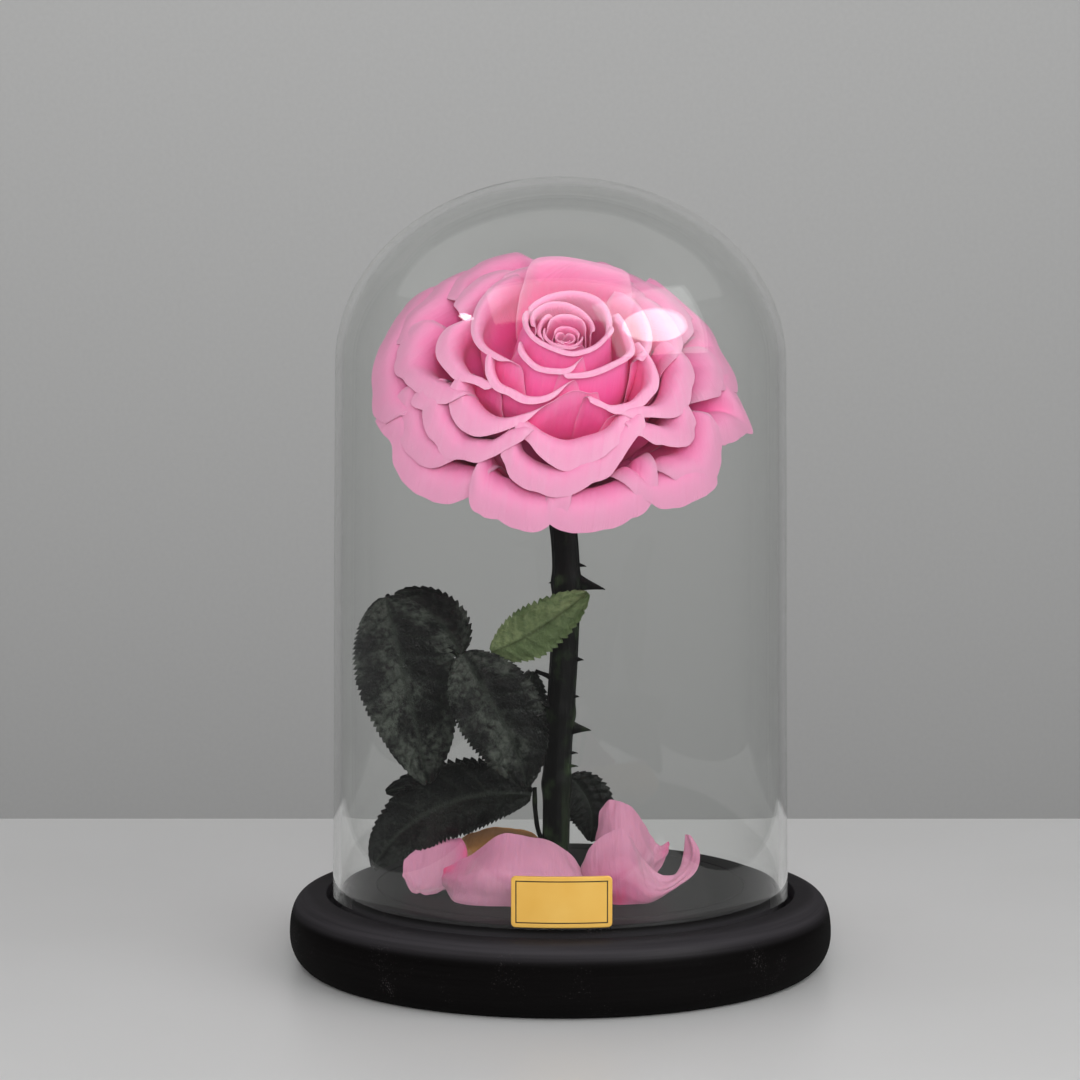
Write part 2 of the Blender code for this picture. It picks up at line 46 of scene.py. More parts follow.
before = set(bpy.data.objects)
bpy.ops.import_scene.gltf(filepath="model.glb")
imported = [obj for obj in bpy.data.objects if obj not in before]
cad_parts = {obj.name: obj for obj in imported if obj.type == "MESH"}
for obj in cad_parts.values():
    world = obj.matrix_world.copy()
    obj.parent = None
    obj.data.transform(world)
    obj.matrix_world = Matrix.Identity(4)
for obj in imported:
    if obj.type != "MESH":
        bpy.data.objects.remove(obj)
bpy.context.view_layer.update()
MM = 0.001

# The case (mm), as in the solids
FOOT_RADIUS = 90.8
WIDEST_HEIGHT = 12.2
RING_TOP = 27.0
GROOVE_OUTER = 86.4
GROOVE_INNER = 79.1
GROOVE_FLOOR = 21.5
PLATEAU = 29.9
SCRIBED_RADIUS = 68.0
# Half the width of the scribed ring, and the width of the side's rounded shoulder
SCRIBE = 0.55
SHOULDER_WIDTH = 9.0
DOME_FOOT = (84.0, 21.8)
DOME_SHOULDER = (82.2, 222.0)
DOME_TOP = 289.5
PLATE_FOOT = 30.2
PLATE_CORNER = 1.6
PLATE_GAP = 0.3
# How far inside the plate's edge its border line is printed
BORDER_INSET = 1.75
# Half the height of the glass's rounded foot
GLASS_ROUND = 1.5
# Unevenness of the blown glass (mm)
GLASS_WOBBLE = 0.1
BASE_SEGMENTS = 256
DOME_SEGMENTS = 192

# The bloom's own place: its axis leans to the viewer and to the right, and its back stands higher, by a
# lift that grows with the radius squared up to a limit
HEAD_CENTRE = np.array([-1, -5, 211])
HEAD_TILT = math.radians(41)
HEAD_LEAN = math.radians(8)
BACK_LIFT = 6.5
LIFT_REACH = 45
LIFT_LIMIT = 1.3

# Nested cups that the petals follow: reach of the rim, then the places (radius, height in mm) of belly,
# low wall, high wall, crest and lip, and last the rim's height. CUP_LEVELS are the shares of the way up
# at which the root, these five and the rim stand
CUP_LEVELS = (0, 0.30, 0.55, 0.74, 0.85, 0.93, 1)
CUPS = np.array([
    [2, 2, 4, 2.6, 16, 2.2, 24, 1.6, 28, 1.7, 29, 29],
    [6, 4.6, 4, 5.9, 17, 5.6, 26, 5.1, 30.2, 5.5, 31.4, 31.2],
    [12, 8, 3, 11, 18, 11, 27.5, 10.4, 31.6, 11.1, 33.2, 32.8],
    [17.5, 16, 3, 18.4, 14, 16.4, 28.5, 15.2, 36, 16.5, 37.6, 36.8],
    [24, 20.5, 0.5, 24, 11, 22.6, 23.5, 21.2, 29.8, 22.7, 31.8, 30.6],
    [33, 23, -4, 27.2, 7, 29, 17, 29.2, 23.6, 31.3, 25.5, 24],
    [38, 25, -7, 29.6, 3.5, 32, 11.8, 32.4, 19, 35, 22.4, 20.8],
    [46, 27.5, -11, 32, -1, 35.2, 8, 36.6, 15.8, 41.5, 19, 16],
    [51, 28.5, -13, 33.5, -4, 37, 5, 38.4, 14.4, 44.5, 16.6, 11.5],
    [58, 30, -16, 36.5, -8, 41.5, 1, 45.5, 9.2, 52.5, 11.2, 7.2],
    [68, 31, -20, 39.5, -12.5, 47.5, -3, 54, 3, 62, 2.4, -4],
    [74, 32, -24, 41.5, -16.5, 51, -8.5, 58.5, -3.5, 67, -5.2, -12],
])
# The petals' roots start on a cone: where the first and the last lie on it (radius, height), the reaches
# of these two petals, and how far the roots stand off it (mm)
CONE_TOP = np.array([2.2, -5])
CONE_FOOT = np.array([13, -17])
CONE_REACH = (12, 74)
CONE_CLEARANCE = 0.7

# Petals, numbered from the middle out. Those whose rim is at one reach: azimuth (0 towards the viewer, + to
# the right) and half span in degrees, and the reach (mm)
PETALS = {
    12: (118, 38, 44.5), 13: (-128, 34, 47.5), 16: (-162, 36, 44), 18: (163, 34, 50.5), 20: (132, 30, 55),
    24: (95, 22, 58.5), 27: (103, 22, 62.5),
}
# The others: how far the petal goes on, hidden, past either end of its rim (degrees), then azimuth and
# reach of places on the rim, from left to right, and last the azimuths between which its lip fades away
RIMS = {
    1: (14, 14, [(96, 9.6), (130, 10.2), (165, 11.6), (198, 12.8), (230, 13.8), (258, 14.2), (284, 13.6)]),
    2: (24, 20, [(-85, 17.2), (-65, 17.8), (-45, 18), (-10, 17.6), (11, 17.8), (38, 16.6), (62, 15.9),
        (80, 16.8)]),
    3: (26, 24, [(96, 15.8), (118, 16.6), (140, 17.2), (172, 17.2), (210, 16.6), (244, 16.4)]),
    4: (16, 16, [(-54, 21.5), (-38, 23), (-22, 24), (-7, 23.3), (5, 22.6), (21, 20)], (-44, -62), (6, 26)),
    5: (12, 10, [(4, 24), (28, 23.6), (49, 23.8), (67, 25), (76, 25.4), (92, 22.5), (112, 20)]),
    6: (6, 18, [(-148, 41), (-128, 38.5), (-103, 35), (-87, 34), (-71, 32), (-61, 30), (-48, 28),
        (-38, 27)], (-56, -36)),
    7: (8, 20, [(-62, 31), (-50, 34), (-42, 35), (-31, 34.2), (-20, 34), (-9, 32), (3, 28),
        (11, 26)], (-4, 16)),
    8: (8, 8, [(76, 29), (100, 31), (125, 33), (150, 36)]),
    9: (10, 8, [(142, 41), (155, 40), (168, 38), (178, 37.5), (190, 38.5), (202, 38),
        (217, 32)], (158, 138), (200, 222)),
    10: (7, 4, [(22, 31.4), (28, 33.2), (33, 35.5), (41, 37), (49, 38), (59, 37.6), (70, 36.8), (81, 32),
        (88, 27)]),
    11: (5, 8, [(-100, 38), (-97, 42), (-91, 45), (-84, 46), (-79, 46), (-70, 44), (-61, 42), (-54, 39),
        (-44, 37.4)]),
    14: (4, 10, [(-62, 42), (-58, 46), (-53, 48), (-44, 50), (-36, 50), (-32, 49), (-26, 46), (-18, 41),
        (-11, 37), (-5, 34), (3, 31), (10, 29.4), (16, 29.4), (22, 30.2), (29, 30.4)], (-18, 0)),
    15: (20, 4, [(44, 40), (51, 42), (59, 46), (65, 48), (71, 49), (83, 48), (97, 46.5), (105, 41)]),
    17: (1, 6, [(-20, 43), (-11, 45), (-4, 48), (8, 51), (15, 49.6), (23, 48), (31, 45), (37, 42),
        (44, 39)]),
    19: (6, 8, [(-161, 53), (-158, 58), (-149, 59.5), (-138, 58), (-129, 56), (-118, 52)]),
    21: (1, 14, [(38, 44), (42, 45.5), (46, 49), (51, 52), (57, 55), (62, 56), (70, 54)]),
    22: (8, 6, [(-100, 57), (-86, 60), (-80, 60), (-74, 58), (-67, 55), (-62, 53), (-55, 50), (-52, 48)]),
    23: (1, 6, [(-22, 50.5), (-17, 52.5), (-14, 55.5), (-10, 57), (-3, 58), (7, 58), (17, 54.8), (26, 53),
        (32, 49), (38, 46), (47, 43)]),
    25: (6, 6, [(154, 58), (180, 57.5), (206, 58.5)]),
    26: (2, 12, [(-67, 54), (-64, 57), (-60, 56.5), (-58, 55), (-56, 56), (-50, 58), (-43, 59), (-37, 60),
        (-31, 58), (-26, 56), (-23, 53), (-19, 49), (-14, 45.5)]),
    28: (8, 6, [(-136, 63), (-124, 60), (-114, 58.5), (-106, 61), (-100, 62), (-92, 60)]),
    29: (2, 5, [(-26, 61), (-23, 65), (-18, 67), (-11, 67.4), (-3, 67), (3, 65), (8, 62)]),
    30: (8, 8, [(128, 59.5), (134, 60), (140, 60), (147, 57), (156, 60), (170, 61)]),
    31: (8, 20, [(-70, 62), (-60, 64), (-52, 65), (-44, 65), (-38, 63), (-35, 60)]),
    32: (20, 4, [(52, 65), (60, 67.6), (65, 67), (71, 65), (76, 61)]),
    33: (5, 12, [(2, 65), (8, 67), (14, 67.3), (20, 67.2), (24, 66.6), (31, 65.4), (36, 64), (40, 61)]),
    34: (8, 8, [(168, 63), (195, 64), (222, 64)]),
    35: (8, 6, [(96, 64.5), (102, 66), (106, 66.5), (112, 62.5), (125, 65), (150, 65)]),
    36: (8, 6, [(-122, 66), (-114, 66), (-104, 65.5), (-94, 66.4), (-86, 68), (-78, 68.4), (-69, 68),
        (-63, 65)]),
    37: (6, 6, [(73, 64.5), (79, 67), (84, 69), (88, 71.6), (92, 67), (100, 65)]),
    38: (16, 8, [(34, 62), (38, 65.5), (43, 67), (52, 67.5), (58, 68.4), (62, 68)]),
    39: (8, 6, [(-68, 69), (-61, 68), (-56, 67.4), (-52, 69.4), (-47, 70.4), (-39, 70.6), (-33, 69.6),
        (-28, 68), (-24, 64.5)]),
    40: (8, 8, [(-158, 65), (-140, 66), (-120, 65.5)]),
    41: (8, 8, [(148, 64), (170, 65), (190, 64)]),
}
# Petals whose rim stands higher or lower than its cup's (mm)
RISE = {1: -0.4, 3: -2.6, 9: 7, 18: -1, 25: -3.5, 34: -4.5, 41: -4.5, 30: -1.5, 40: -2}
# The coil in the middle: azimuth, half span and reach, as above, and how much lower its rim is (mm)
COIL = [
    (20, 150, 1.7, 2.4), (95, 130, 3.3, 2.6), (-75, 120, 3.9, 2.7), (175, 112, 5.5, 3), (30, 95, 6.6, 2.6),
    (182, 116, 8, 0.2), (-25, 100, 9.2, 1.6), (-95, 60, 11, 2),
]
# A petal's width at its claw, as a share of its whole width, and the level at which it is full
CLAW_WIDTH = 0.6
WIDEST_LEVEL = 0.5
# How far a petal's level falls at the hidden ends of its rim, at an even rim's ends, and where it fades
END_FALL = 0.32
EVEN_FALL = 0.34
FADE_FALL = 0.14
# Thickness of a petal's edge, as a share of the rest's
EDGE_SHARE = 0.35
# Length of the skin's pattern from a petal's claw to its rim (mm), and gap under a fallen petal (mm)
PATTERN_LENGTH = 60
LAID_GAP = 0.05

# Way of the stem's middle from its foot to its neck, then the receptacle's rings on the bloom's
# axis as height and radius (mm)
STEM_WAY = [
    (-1.8, -0.5, 30.2), (-1.8, -0.5, 36), (-1.6, 0.5, 49), (-1, 3, 75), (0.4, 5.5, 98),
    (1.7, 8, 120), (2.2, 10.5, 142), (1.4, 13, 157), (-0.8, 15.5, 170), (-3.6, 16.3, 181),
]
RECEPTACLE = [(-27, 4.8), (-23.5, 8), (-20, 13), (-17, 13), (-5, 2.2)]
# Heights of the nodes, where the stem swells, and by how much (mm)
STEM_NODES = (66, 92, 140)
NODE_SWELL = 0.7
# Thorns: height of the root, half height of the root, and the tip's place (mm)
THORNS = [
    (159.5, 1.4, (7.6, 12.5, 158.7)), (147.5, 1.9, (9.6, 10, 146)),
    (141.2, 5, (16.6, 8, 137.7)), (140, 1.7, (-4.2, 9, 140)),
    (126, 3, (3.5, 17.5, 124)), (112.4, 2.2, (8.6, 6.5, 111.6)),
    (98.6, 1.7, (7, 4.5, 98.2)), (87.4, 4.4, (11.4, 3.5, 85.8)),
    (77.9, 1.5, (6.5, 2.8, 77.4)), (73, 1.5, (6.6, 2.2, 72.6)),
    (60, 3, (-3, 11, 58.5)),
]
# Leaf stalks, each a way out of the stem or out of another stalk (mm)
STALKS = [
    [(0.5, 5, 92), (-12, -2, 100), (-24, -8.5, 108), (-34, -10.5, 113.5),
     (-42, -10.3, 119), (-52, -10, 127), (-59, -10.8, 133.5), (-62.9, -13.6, 138.1)],
    [(-34, -10.5, 113.5), (-34.5, -12.8, 115.2), (-34.9, -14.6, 117)],
    [(-29, -9.6, 110.8), (-27.6, -11.8, 114), (-26.4, -13.3, 116.2)],
    [(0.8, 6, 101.5), (-4, 6.6, 105.5), (-9.2, 7.6, 107.5)],
    [(-1.8, 0, 40), (-7.4, 0.6, 47), (-9.2, 1, 56), (-9.5, 1.7, 65)],
    [(-0.5, 3, 70), (1, 8, 69.4), (2.4, 10.6, 68)],
]

# Leaves: midrib as base, two controls and tip (mm), direction across, half width on the side away
# from that direction and on its side (mm), fold, number of teeth
LEAVES = {
    "leaf_left": (
        [(-63.4, -15, 137.6), (-59.5, -16, 121), (-54, -16, 98), (-48.3, -12, 68.7)],
        (0.97, 0.15, 0.17), (17.4, 19.4), 0.16, 36),
    "leaf_behind": (
        [(-36, -8.7, 115.8), (-40, -4, 124), (-48, -3, 133), (-61, -3, 137)],
        (0.65, 0.10, 0.75), (10, 10.5), 0.10, 16),
    "leaf_middle": (
        [(-35.4, -16.2, 117.2), (-28, -22.5, 104), (-15.5, -22, 88), (-12.5, -16.5, 68.3)],
        (0.86, 0.10, 0.50), (15.4, 16.6), 0.14, 32),
    "leaf_small": (
        [(-25.2, -14.2, 117.4), (-14, -16.5, 121), (-2, -16.5, 130), (9.8, -12, 138.8)],
        (0.52, 0.05, -0.85), (10, 10), 0.10, 18),
    "leaf_by_stem": (
        [(-10.4, 8.4, 107.2), (-12, 10, 97), (-11, 13, 84), (-9.5, 13, 70)],
        (0.98, 0.20, 0.05), (7, 7.5), 0.12, 16),
    "leaf_low_back": (
        [(-10.6, 3, 66.4), (-26, 5, 67.5), (-45, 7, 68.5), (-65, 6, 62.5)],
        (0.05, 0.15, 1), (8.5, 8.5), 0.12, 20),
    "leaf_low_front": (
        [(-10.7, -0.4, 62.4), (-32, -4.5, 67), (-58, -6, 58), (-69.4, -2, 35.6)],
        (-0.35, -0.10, 0.93), (14.5, 14), 0.12, 34),
    "leaf_low_right": (
        [(3.4, 11.6, 67), (10, 15, 62), (14.5, 16, 52), (11, 15, 42.5)],
        (0.88, 0.25, 0.40), (10.5, 9.5), 0.14, 16),
}

# Depth of a leaf's teeth, height of the puffs between its side veins, of its waves and of its crinkles and
# depth of its midrib (mm), and the number of its side veins
TOOTH_DEPTH = 1.25
PUFF = 0.8
LEAF_WAVE = 1.1
LEAF_CRINKLE = 0.35
MIDRIB_DEPTH = 0.35
SIDE_VEINS = 8.5

# Fallen petals: the claw's place, as shares of the way to the right and up, then rows from the left end
# to the right one, each the places (mm) of the low edge, the middle and the high edge
FALLEN_PETALS = {
    "fallen_petal_front_left": (0, 0.75, [
        [-41, -25, 32, -42.6, -30, 38, -41.7, -29, 43],
        [-37.5, -38, 30.4, -36, -41, 39.5, -31.5, -31, 46.5],
        [-27, -45.5, 30.4, -26, -48.5, 43, -22, -33, 54.8],
        [-14, -48.5, 30.4, -14, -51.5, 43.5, -13.5, -35, 54.6],
        [-3, -48.5, 30.4, -3, -51, 43, -3.5, -35, 52.6],
        [5, -44, 30.4, 6, -46, 39, 5.6, -35, 45.6],
        [8.5, -38, 31, 9.4, -39, 35, 8.4, -36, 39.6]]),
    "fallen_petal_left": (1, 0.9, [
        [-57, -12, 32.5, -57.8, -9, 36, -57.4, -4, 40.5],
        [-54, -21, 30.4, -53.5, -13, 33.2, -52.5, -1, 43],
        [-49.5, -26, 30.4, -47.5, -15, 32.6, -45.5, 2, 45],
        [-45.6, -27, 30.6, -41.5, -15, 33, -38.5, 4, 46],
        [-41, -22, 31.5, -36.5, -12, 34.6, -33, 4, 44.5]]),
    "fallen_petal_front_right": (0.24, 0.1, [
        [7, -36, 32.5, 6.6, -37.5, 39, 8, -33, 45.4],
        [12, -41, 30.5, 10.4, -43, 41, 11.2, -33, 50.8],
        [18.7, -43, 30.4, 17, -45.5, 43, 17.2, -33, 55.2],
        [24.8, -43, 30.4, 24.4, -45, 43, 23.4, -33, 56.6],
        [30.9, -41.5, 30.8, 30.8, -43.5, 38, 28.6, -34, 47],
        [37, -39.5, 33.4, 36.6, -40.5, 36.4, 34.2, -36, 40.8],
        [42.6, -38, 36.8, 41.8, -38.4, 38.6, 39.8, -35, 40],
        [48.2, -36.5, 41.6, 46, -36.5, 42.6, 42.6, -33.5, 43],
        [49.4, -36, 48.4, 47.4, -37, 48.6, 43.9, -33.5, 48.4],
        [47, -35.5, 54, 45.6, -36, 54.8, 43.6, -34.5, 54.6]]),
    "fallen_petal_back_right": (1, 0.5, [
        [13, 8, 34, 13.6, 5, 47, 15.4, 9, 60],
        [20, 1, 30.5, 19.4, -2, 46, 20, 8, 60.8],
        [26.5, -1, 30.4, 26.2, -3.5, 44.5, 26.2, 8, 58],
        [32, 0, 30.6, 31.6, -2, 41, 31, 8, 52],
        [35.5, 3, 33, 35, 2, 38.5, 34.2, 8, 45.2],
        [38.6, 6, 37, 38.2, 5.5, 39.5, 37.2, 8, 42.8],
        [40.6, 8, 41, 40.8, 7.6, 43, 40.2, 8, 45.2]]),
    "fallen_petal_behind": (1, 0.5, [
        [-39.5, 11, 37, -40.2, 12, 40, -39.5, 11, 43.6],
        [-33.5, 15, 31.6, -34.5, 20, 39, -33, 12, 47.2],
        [-24, 17, 30.5, -24.5, 24, 39.5, -24, 13, 49.3],
        [-15.5, 16, 30.8, -14.5, 22, 39.5, -15.6, 12, 48.4],
        [-9.5, 13, 34, -8.4, 15.5, 39.5, -8.8, 10.5, 46],
        [-6, 10, 38, -5.6, 10.5, 40.5, -6.2, 9, 43.2]]),
}

# Lights: name, direction from the target, distance and size (m), the setting that gives the power, its
# share of that, form, the rays that see it, and its target (m) if that isn't the dome's middle. Those for
# diffuse rays light what is matt; those for glossy rays show in the lacquer, the plate and the glass
DOME_MIDDLE = (0.0, 0.0, 0.2)
LIGHTS = [
    ("key_softbox", (0.70, -0.52, 0.49), 1.3, (1.25, 0.95), "key_power", 1, "RECTANGLE", "both"),
    # The softbox is brightest round its lamp, which shows in the glass
    ("softbox_core", (0.70, -0.55, 0.47), 1.25, (0.75, 0.45), "core_power", 1, "ELLIPSE", "glossy"),
    ("small_window", (-0.691, -0.481, 0.539), 1.3, (0.15, 0.085), "spot_power", 1, "ELLIPSE", "both"),
    ("front_panel", (0, -1, 0.30), 1.9, (3.0, 2.4), "fill_power", 21, "RECTANGLE", "diffuse"),
    ("eye_level_lamp", (0, -1, 0.20), 1.3, (0.4, 0.4), "fill_power", 7.5, "RECTANGLE", "diffuse"),
    ("overhead_panel", (0, -0.1, 1), 1.6, (3.0, 3.0), "fill_power", 5.5, "RECTANGLE", "diffuse"),
    ("left_panel", (-1, -0.05, 0.12), 1.9, (2.2, 1.6), "fill_power", 12, "RECTANGLE", "diffuse"),
    ("right_panel", (1, -0.05, 0.12), 1.9, (2.2, 1.6), "fill_power", 8.5, "RECTANGLE", "diffuse"),
    ("back_panel", (0, 1, 0.35), 1.7, (2.6, 1.6), "fill_power", 6, "RECTANGLE", "diffuse"),
    ("front_screen", (0, -1, 1.2), 1.6, (2.0, 0.8), "fill_power", 7, "RECTANGLE", "glossy"),
    ("wall_wash", (0, -1, 0.1), 1.3, (3.4, 2.0), "fill_power", 8, "RECTANGLE", "diffuse", (0, 2.2, 0.45)),
]
# The table, small so that the glass mirrors little of it, and the wall behind: low and high corner (m)
TABLE = (-0.31, -0.30, -0.03), (0.31, 0.30, 0)
WALL = (-2.6, 2.2, -1.4), (2.6, 2.25, 2.4)
# The camera: its place (mm), how far it looks down (degrees), its lens, the picture's width (mm) and its
# nearest and farthest view (m)
CAMERA_PLACE = (-7.5, -1250.0, 275.9)
CAMERA_DIP = 5.44
LENS = 114.13
SENSOR = 36.0
CLIP = (0.05, 20.0)


def linear(hex_colour):
    """Linear RGBA of an sRGB hex colour: the sRGB curve undone, channel by channel."""
    channels = [int(hex_colour[i:i + 2], 16) / 255 for i in (0, 2, 4)]
    return tuple(c / 12.92 if c <= 0.04045 else ((c + 0.055) / 1.055) ** 2.4 for c in channels) + (1.0,)


def length(name, description, default):
    """A setting that is a length, with its default in metres."""
    return bpy.props.FloatProperty(name=name, description=description, default=default, unit="LENGTH")


def tint(name, description, hex_colour):
    """A setting that is a colour, with its default in sRGB hex."""
    return bpy.props.FloatVectorProperty(name=name, description=description, default=linear(hex_colour),
                                         size=4, subtype="COLOR")


def strength(name, description, default, unit="POWER"):
    """A setting that says how strong a light is."""
    return bpy.props.FloatProperty(name=name, description=description, default=default, unit=unit)


class CaseSettings(bpy.types.PropertyGroup):
    """Sizes and colours of the base, the glass and the plate."""
    base_radius: length("Base radius", "Radius of the base at its widest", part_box("wooden_base")[1].x)
    glass_wall: length("Glass wall", "Thickness of the glass", 3.0 * MM)
    plate_width: length("Plate width", "Width of the metal plate", 35.0 * MM)
    plate_height: length("Plate height", "Height of the metal plate", 18.0 * MM)
    wood_colour: tint("Lacquer", "Colour of the lacquered wood", "060505")
    plate_colour: tint("Plate metal", "Colour of the gold metal", "FFD06E")
    glass_colour: tint("Glass", "Tint of the glass", "FEFFFE")


class BloomSettings(bpy.types.PropertyGroup):
    """Sizes and colours of the bloom and the fallen petals."""
    petal_thickness: length("Petal thickness", "Thickness of a petal away from its rim", 0.45 * MM)
    rim_colour: tint("Petal rim", "Colour of a petal's lip", "F49DC4")
    middle_colour: tint("Petal middle", "Colour half way down a petal", "FD86BC")
    claw_colour: tint("Petal claw", "Colour deep in the bloom", "FF66B0")
    fallen_colour: tint("Fallen petal", "Colour of the petals on the base", "B8728F")
    dried_colour: tint("Dried petal", "Colour of the dried petal", "8A6236")


class FoliageSettings(bpy.types.PropertyGroup):
    """Sizes and colours of the stem and the leaves."""
    stem_radius: length("Stem radius", "Radius of the stem between its nodes", 5.0 * MM)
    leaf_thickness: length("Leaf thickness", "Thickness of a leaf", 0.45 * MM)
    leaf_colour: tint("Leaf", "Colour of a leaf's face", "050705")
    pale_leaf_colour: tint("Leaf underside", "Colour of the small leaf's underside", "4F5E3B")
    stem_colour: tint("Stem", "Colour of the stem's skin", "070706")


class StageSettings(bpy.types.PropertyGroup):
    """Light and ground of the picture."""
    key_power: strength("Key light", "Power of the large soft light", 6.0)
    core_power: strength("Softbox core", "Power of the softbox's bright middle in mirrors", 5.0)
    spot_power: strength("Small light", "Power of the small light at the left", 0.5)
    fill_power: strength("Fill", "Strength of the large panels round the dome", 1.0, "NONE")
    room_light: strength("Room light", "Strength of the light from all round", 0.10, "NONE")
    table_colour: tint("Table", "Colour of the table", "D7D7D7")
    wall_colour: tint("Backdrop", "Colour of the wall behind", "D2D2D1")


class Shape:
    """A surface: points, groups of faces with equally many corners, UV corners and named values."""

    def __init__(self, points, faces, uv, values=None):
        self.points = points
        self.faces = faces
        self.uv = uv
        self.values = values or {}


def joined(shapes):
    """One shape of several: each one's faces count on from the points before it."""
    starts = np.cumsum([0] + [len(shape.points) for shape in shapes])
    faces = [group + start for shape, start in zip(shapes, starts) for group in shape.faces]
    values = {name: np.concatenate([shape.values[name] for shape in shapes]) for name in shapes[0].values}
    return Shape(np.concatenate([shape.points for shape in shapes]), faces,
                 [corners for shape in shapes for corners in shape.uv], values)


def add_piece(name, shape, material, nodes, sharp_degrees=50.0):
    """Puts a shape (mm) into a smooth mesh that rides on the object and stands for its nodes."""
    mesh = bpy.data.meshes.new(name)
    mesh.vertices.add(len(shape.points))
    mesh.vertices.foreach_set("co", (shape.points * MM).astype(np.float32).ravel())
    corners = np.concatenate([group.ravel() for group in shape.faces])
    sides = np.concatenate([np.full(len(group), group.shape[1]) for group in shape.faces])
    mesh.loops.add(len(corners))
    mesh.loops.foreach_set("vertex_index", corners.astype(np.int32))
    mesh.polygons.add(len(sides))
    mesh.polygons.foreach_set("loop_start", np.concatenate([[0], np.cumsum(sides)[:-1]]).astype(np.int32))
    mesh.update(calc_edges=True)
    layer = mesh.uv_layers.new(name="UVMap")
    layer.data.foreach_set("uv", np.concatenate([part.reshape(-1, 2) for part in shape.uv])
                           .astype(np.float32).ravel())
    for label, values in shape.values.items():
        mesh.attributes.new(label, "FLOAT", "POINT").data.foreach_set("value", values.astype(np.float32))
    if mesh.validate():
        raise RuntimeError("%s has faces that Blender had to mend" % name)
    mesh.polygons.foreach_set("use_smooth", np.ones(len(sides), bool))
    mesh.set_sharp_from_angle(angle=math.radians(sharp_degrees))
    mesh.materials.append(material)
    piece = bpy.data.objects.new(name, mesh)
    bpy.context.scene.collection.objects.link(piece)
    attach(piece, "root")
    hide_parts(*nodes)
    return piece


def cubic(start, end, start_slope, end_slope, step, t):
    """The cubic that has these values and slopes at the ends of a step, at t from 0 to 1 along it."""
    return (start * (1 + 2 * t) * (1 - t) ** 2 + end * t ** 2 * (3 - 2 * t)
            + step * (start_slope * t * (1 - t) ** 2 - end_slope * t ** 2 * (1 - t)))


def through(stations, values, x):
    """A smooth curve through values at stations, read at x: a cubic from each station to the next.

    The slope at a station is the one that its neighbours give.
    """
    stations, values, x = (np.asarray(part, float) for part in (stations, values, x))
    slopes = np.gradient(values, stations, axis=0)
    low = np.clip(np.searchsorted(stations, x, side="right") - 1, 0, len(stations) - 2)
    step = stations[low + 1] - stations[low]
    t = np.clip((x - stations[low]) / step, 0, 1)
    t, step = (part.reshape(part.shape + (1,) * (values.ndim - 1)) for part in (t, step))
    return cubic(values[low], values[low + 1], slopes[low], slopes[low + 1], step, t)


def blended(stations, rows, x):
    """Like through, but every station holds an array: x and the rows may differ from column to column."""
    slopes = np.gradient(np.stack(np.broadcast_arrays(*rows)), np.asarray(stations, float), axis=0)
    total = 0.0
    for k in range(len(stations) - 1):
        step = stations[k + 1] - stations[k]
        t = np.clip((x - stations[k]) / step, 0, 1)
        here = (x >= stations[k]) & ((x < stations[k + 1]) | (k == len(stations) - 2))
        total = total + here * cubic(rows[k], rows[k + 1], slopes[k], slopes[k + 1], step, t)
    return total


def distances(way):
    """How far along a way each of its places lies from its start."""
    return np.concatenate([[0], np.cumsum(np.linalg.norm(np.diff(way, axis=0), axis=1))])


def bezier(controls, t):
    """Points at t on a Bezier curve of any degree: the controls weighed by the binomial terms of t."""
    controls = np.asarray(controls, float)
    degree = len(controls) - 1
    t = np.asarray(t, float)[..., None]
    return sum(math.comb(degree, k) * (1 - t) ** (degree - k) * t ** k * controls[k]
               for k in range(degree + 1))


def ripples(seed, *places, waves=7):
    """Smooth random relief of about -1 to 1: sine waves of seeded direction, rate and phase, added up."""
    dice = np.random.default_rng(seed)
    total = 0.0
    for _ in range(waves):
        direction = dice.normal(size=len(places))
        direction *= dice.uniform(0.5, 1.6) / np.linalg.norm(direction)
        phase = dice.uniform(0, 2 * math.pi)
        total = total + np.sin(2 * math.pi * sum(d * p for d, p in zip(direction, places)) + phase)
    return total / math.sqrt(waves)


def unit(vectors):
    """Vectors of length one along the last axis."""
    return vectors / np.maximum(np.linalg.norm(vectors, axis=-1, keepdims=True), 1e-12)


def eased(low, high, x):
    """0 below low, 1 above high, and the cubic 3t^2 - 2t^3 between them."""
    t = np.clip((x - low) / (high - low), 0, 1)
    return t * t * (3 - 2 * t)


def rounded(corners):
    """A profile through corners given as (radius, height, rounding in mm), each replaced by a short arc.

    The arc is the quadratic curve from a rounding before the corner to a rounding after it.
    """
    points = [np.array(corners[0][:2], float)]
    for before, corner, after in zip(corners, corners[1:], corners[2:]):
        place = np.array(corner[:2], float)
        if corner[2] == 0:
            points.append(place)
            continue
        ends = [place + corner[2] * unit(np.array(other[:2], float) - place) for other in (before, after)]
        points.extend(bezier([ends[0], place, ends[1]], np.linspace(0, 1, 6)))
    points.append(np.array(corners[-1][:2], float))
    return np.array(points)


def cells(grid):
    """The four corners of each cell of a grid, in turn round the cell."""
    corners = np.stack([grid[:-1, :-1], grid[:-1, 1:], grid[1:, 1:], grid[1:, :-1]], 2)
    return corners.reshape(-1, 4, *grid.shape[2:])


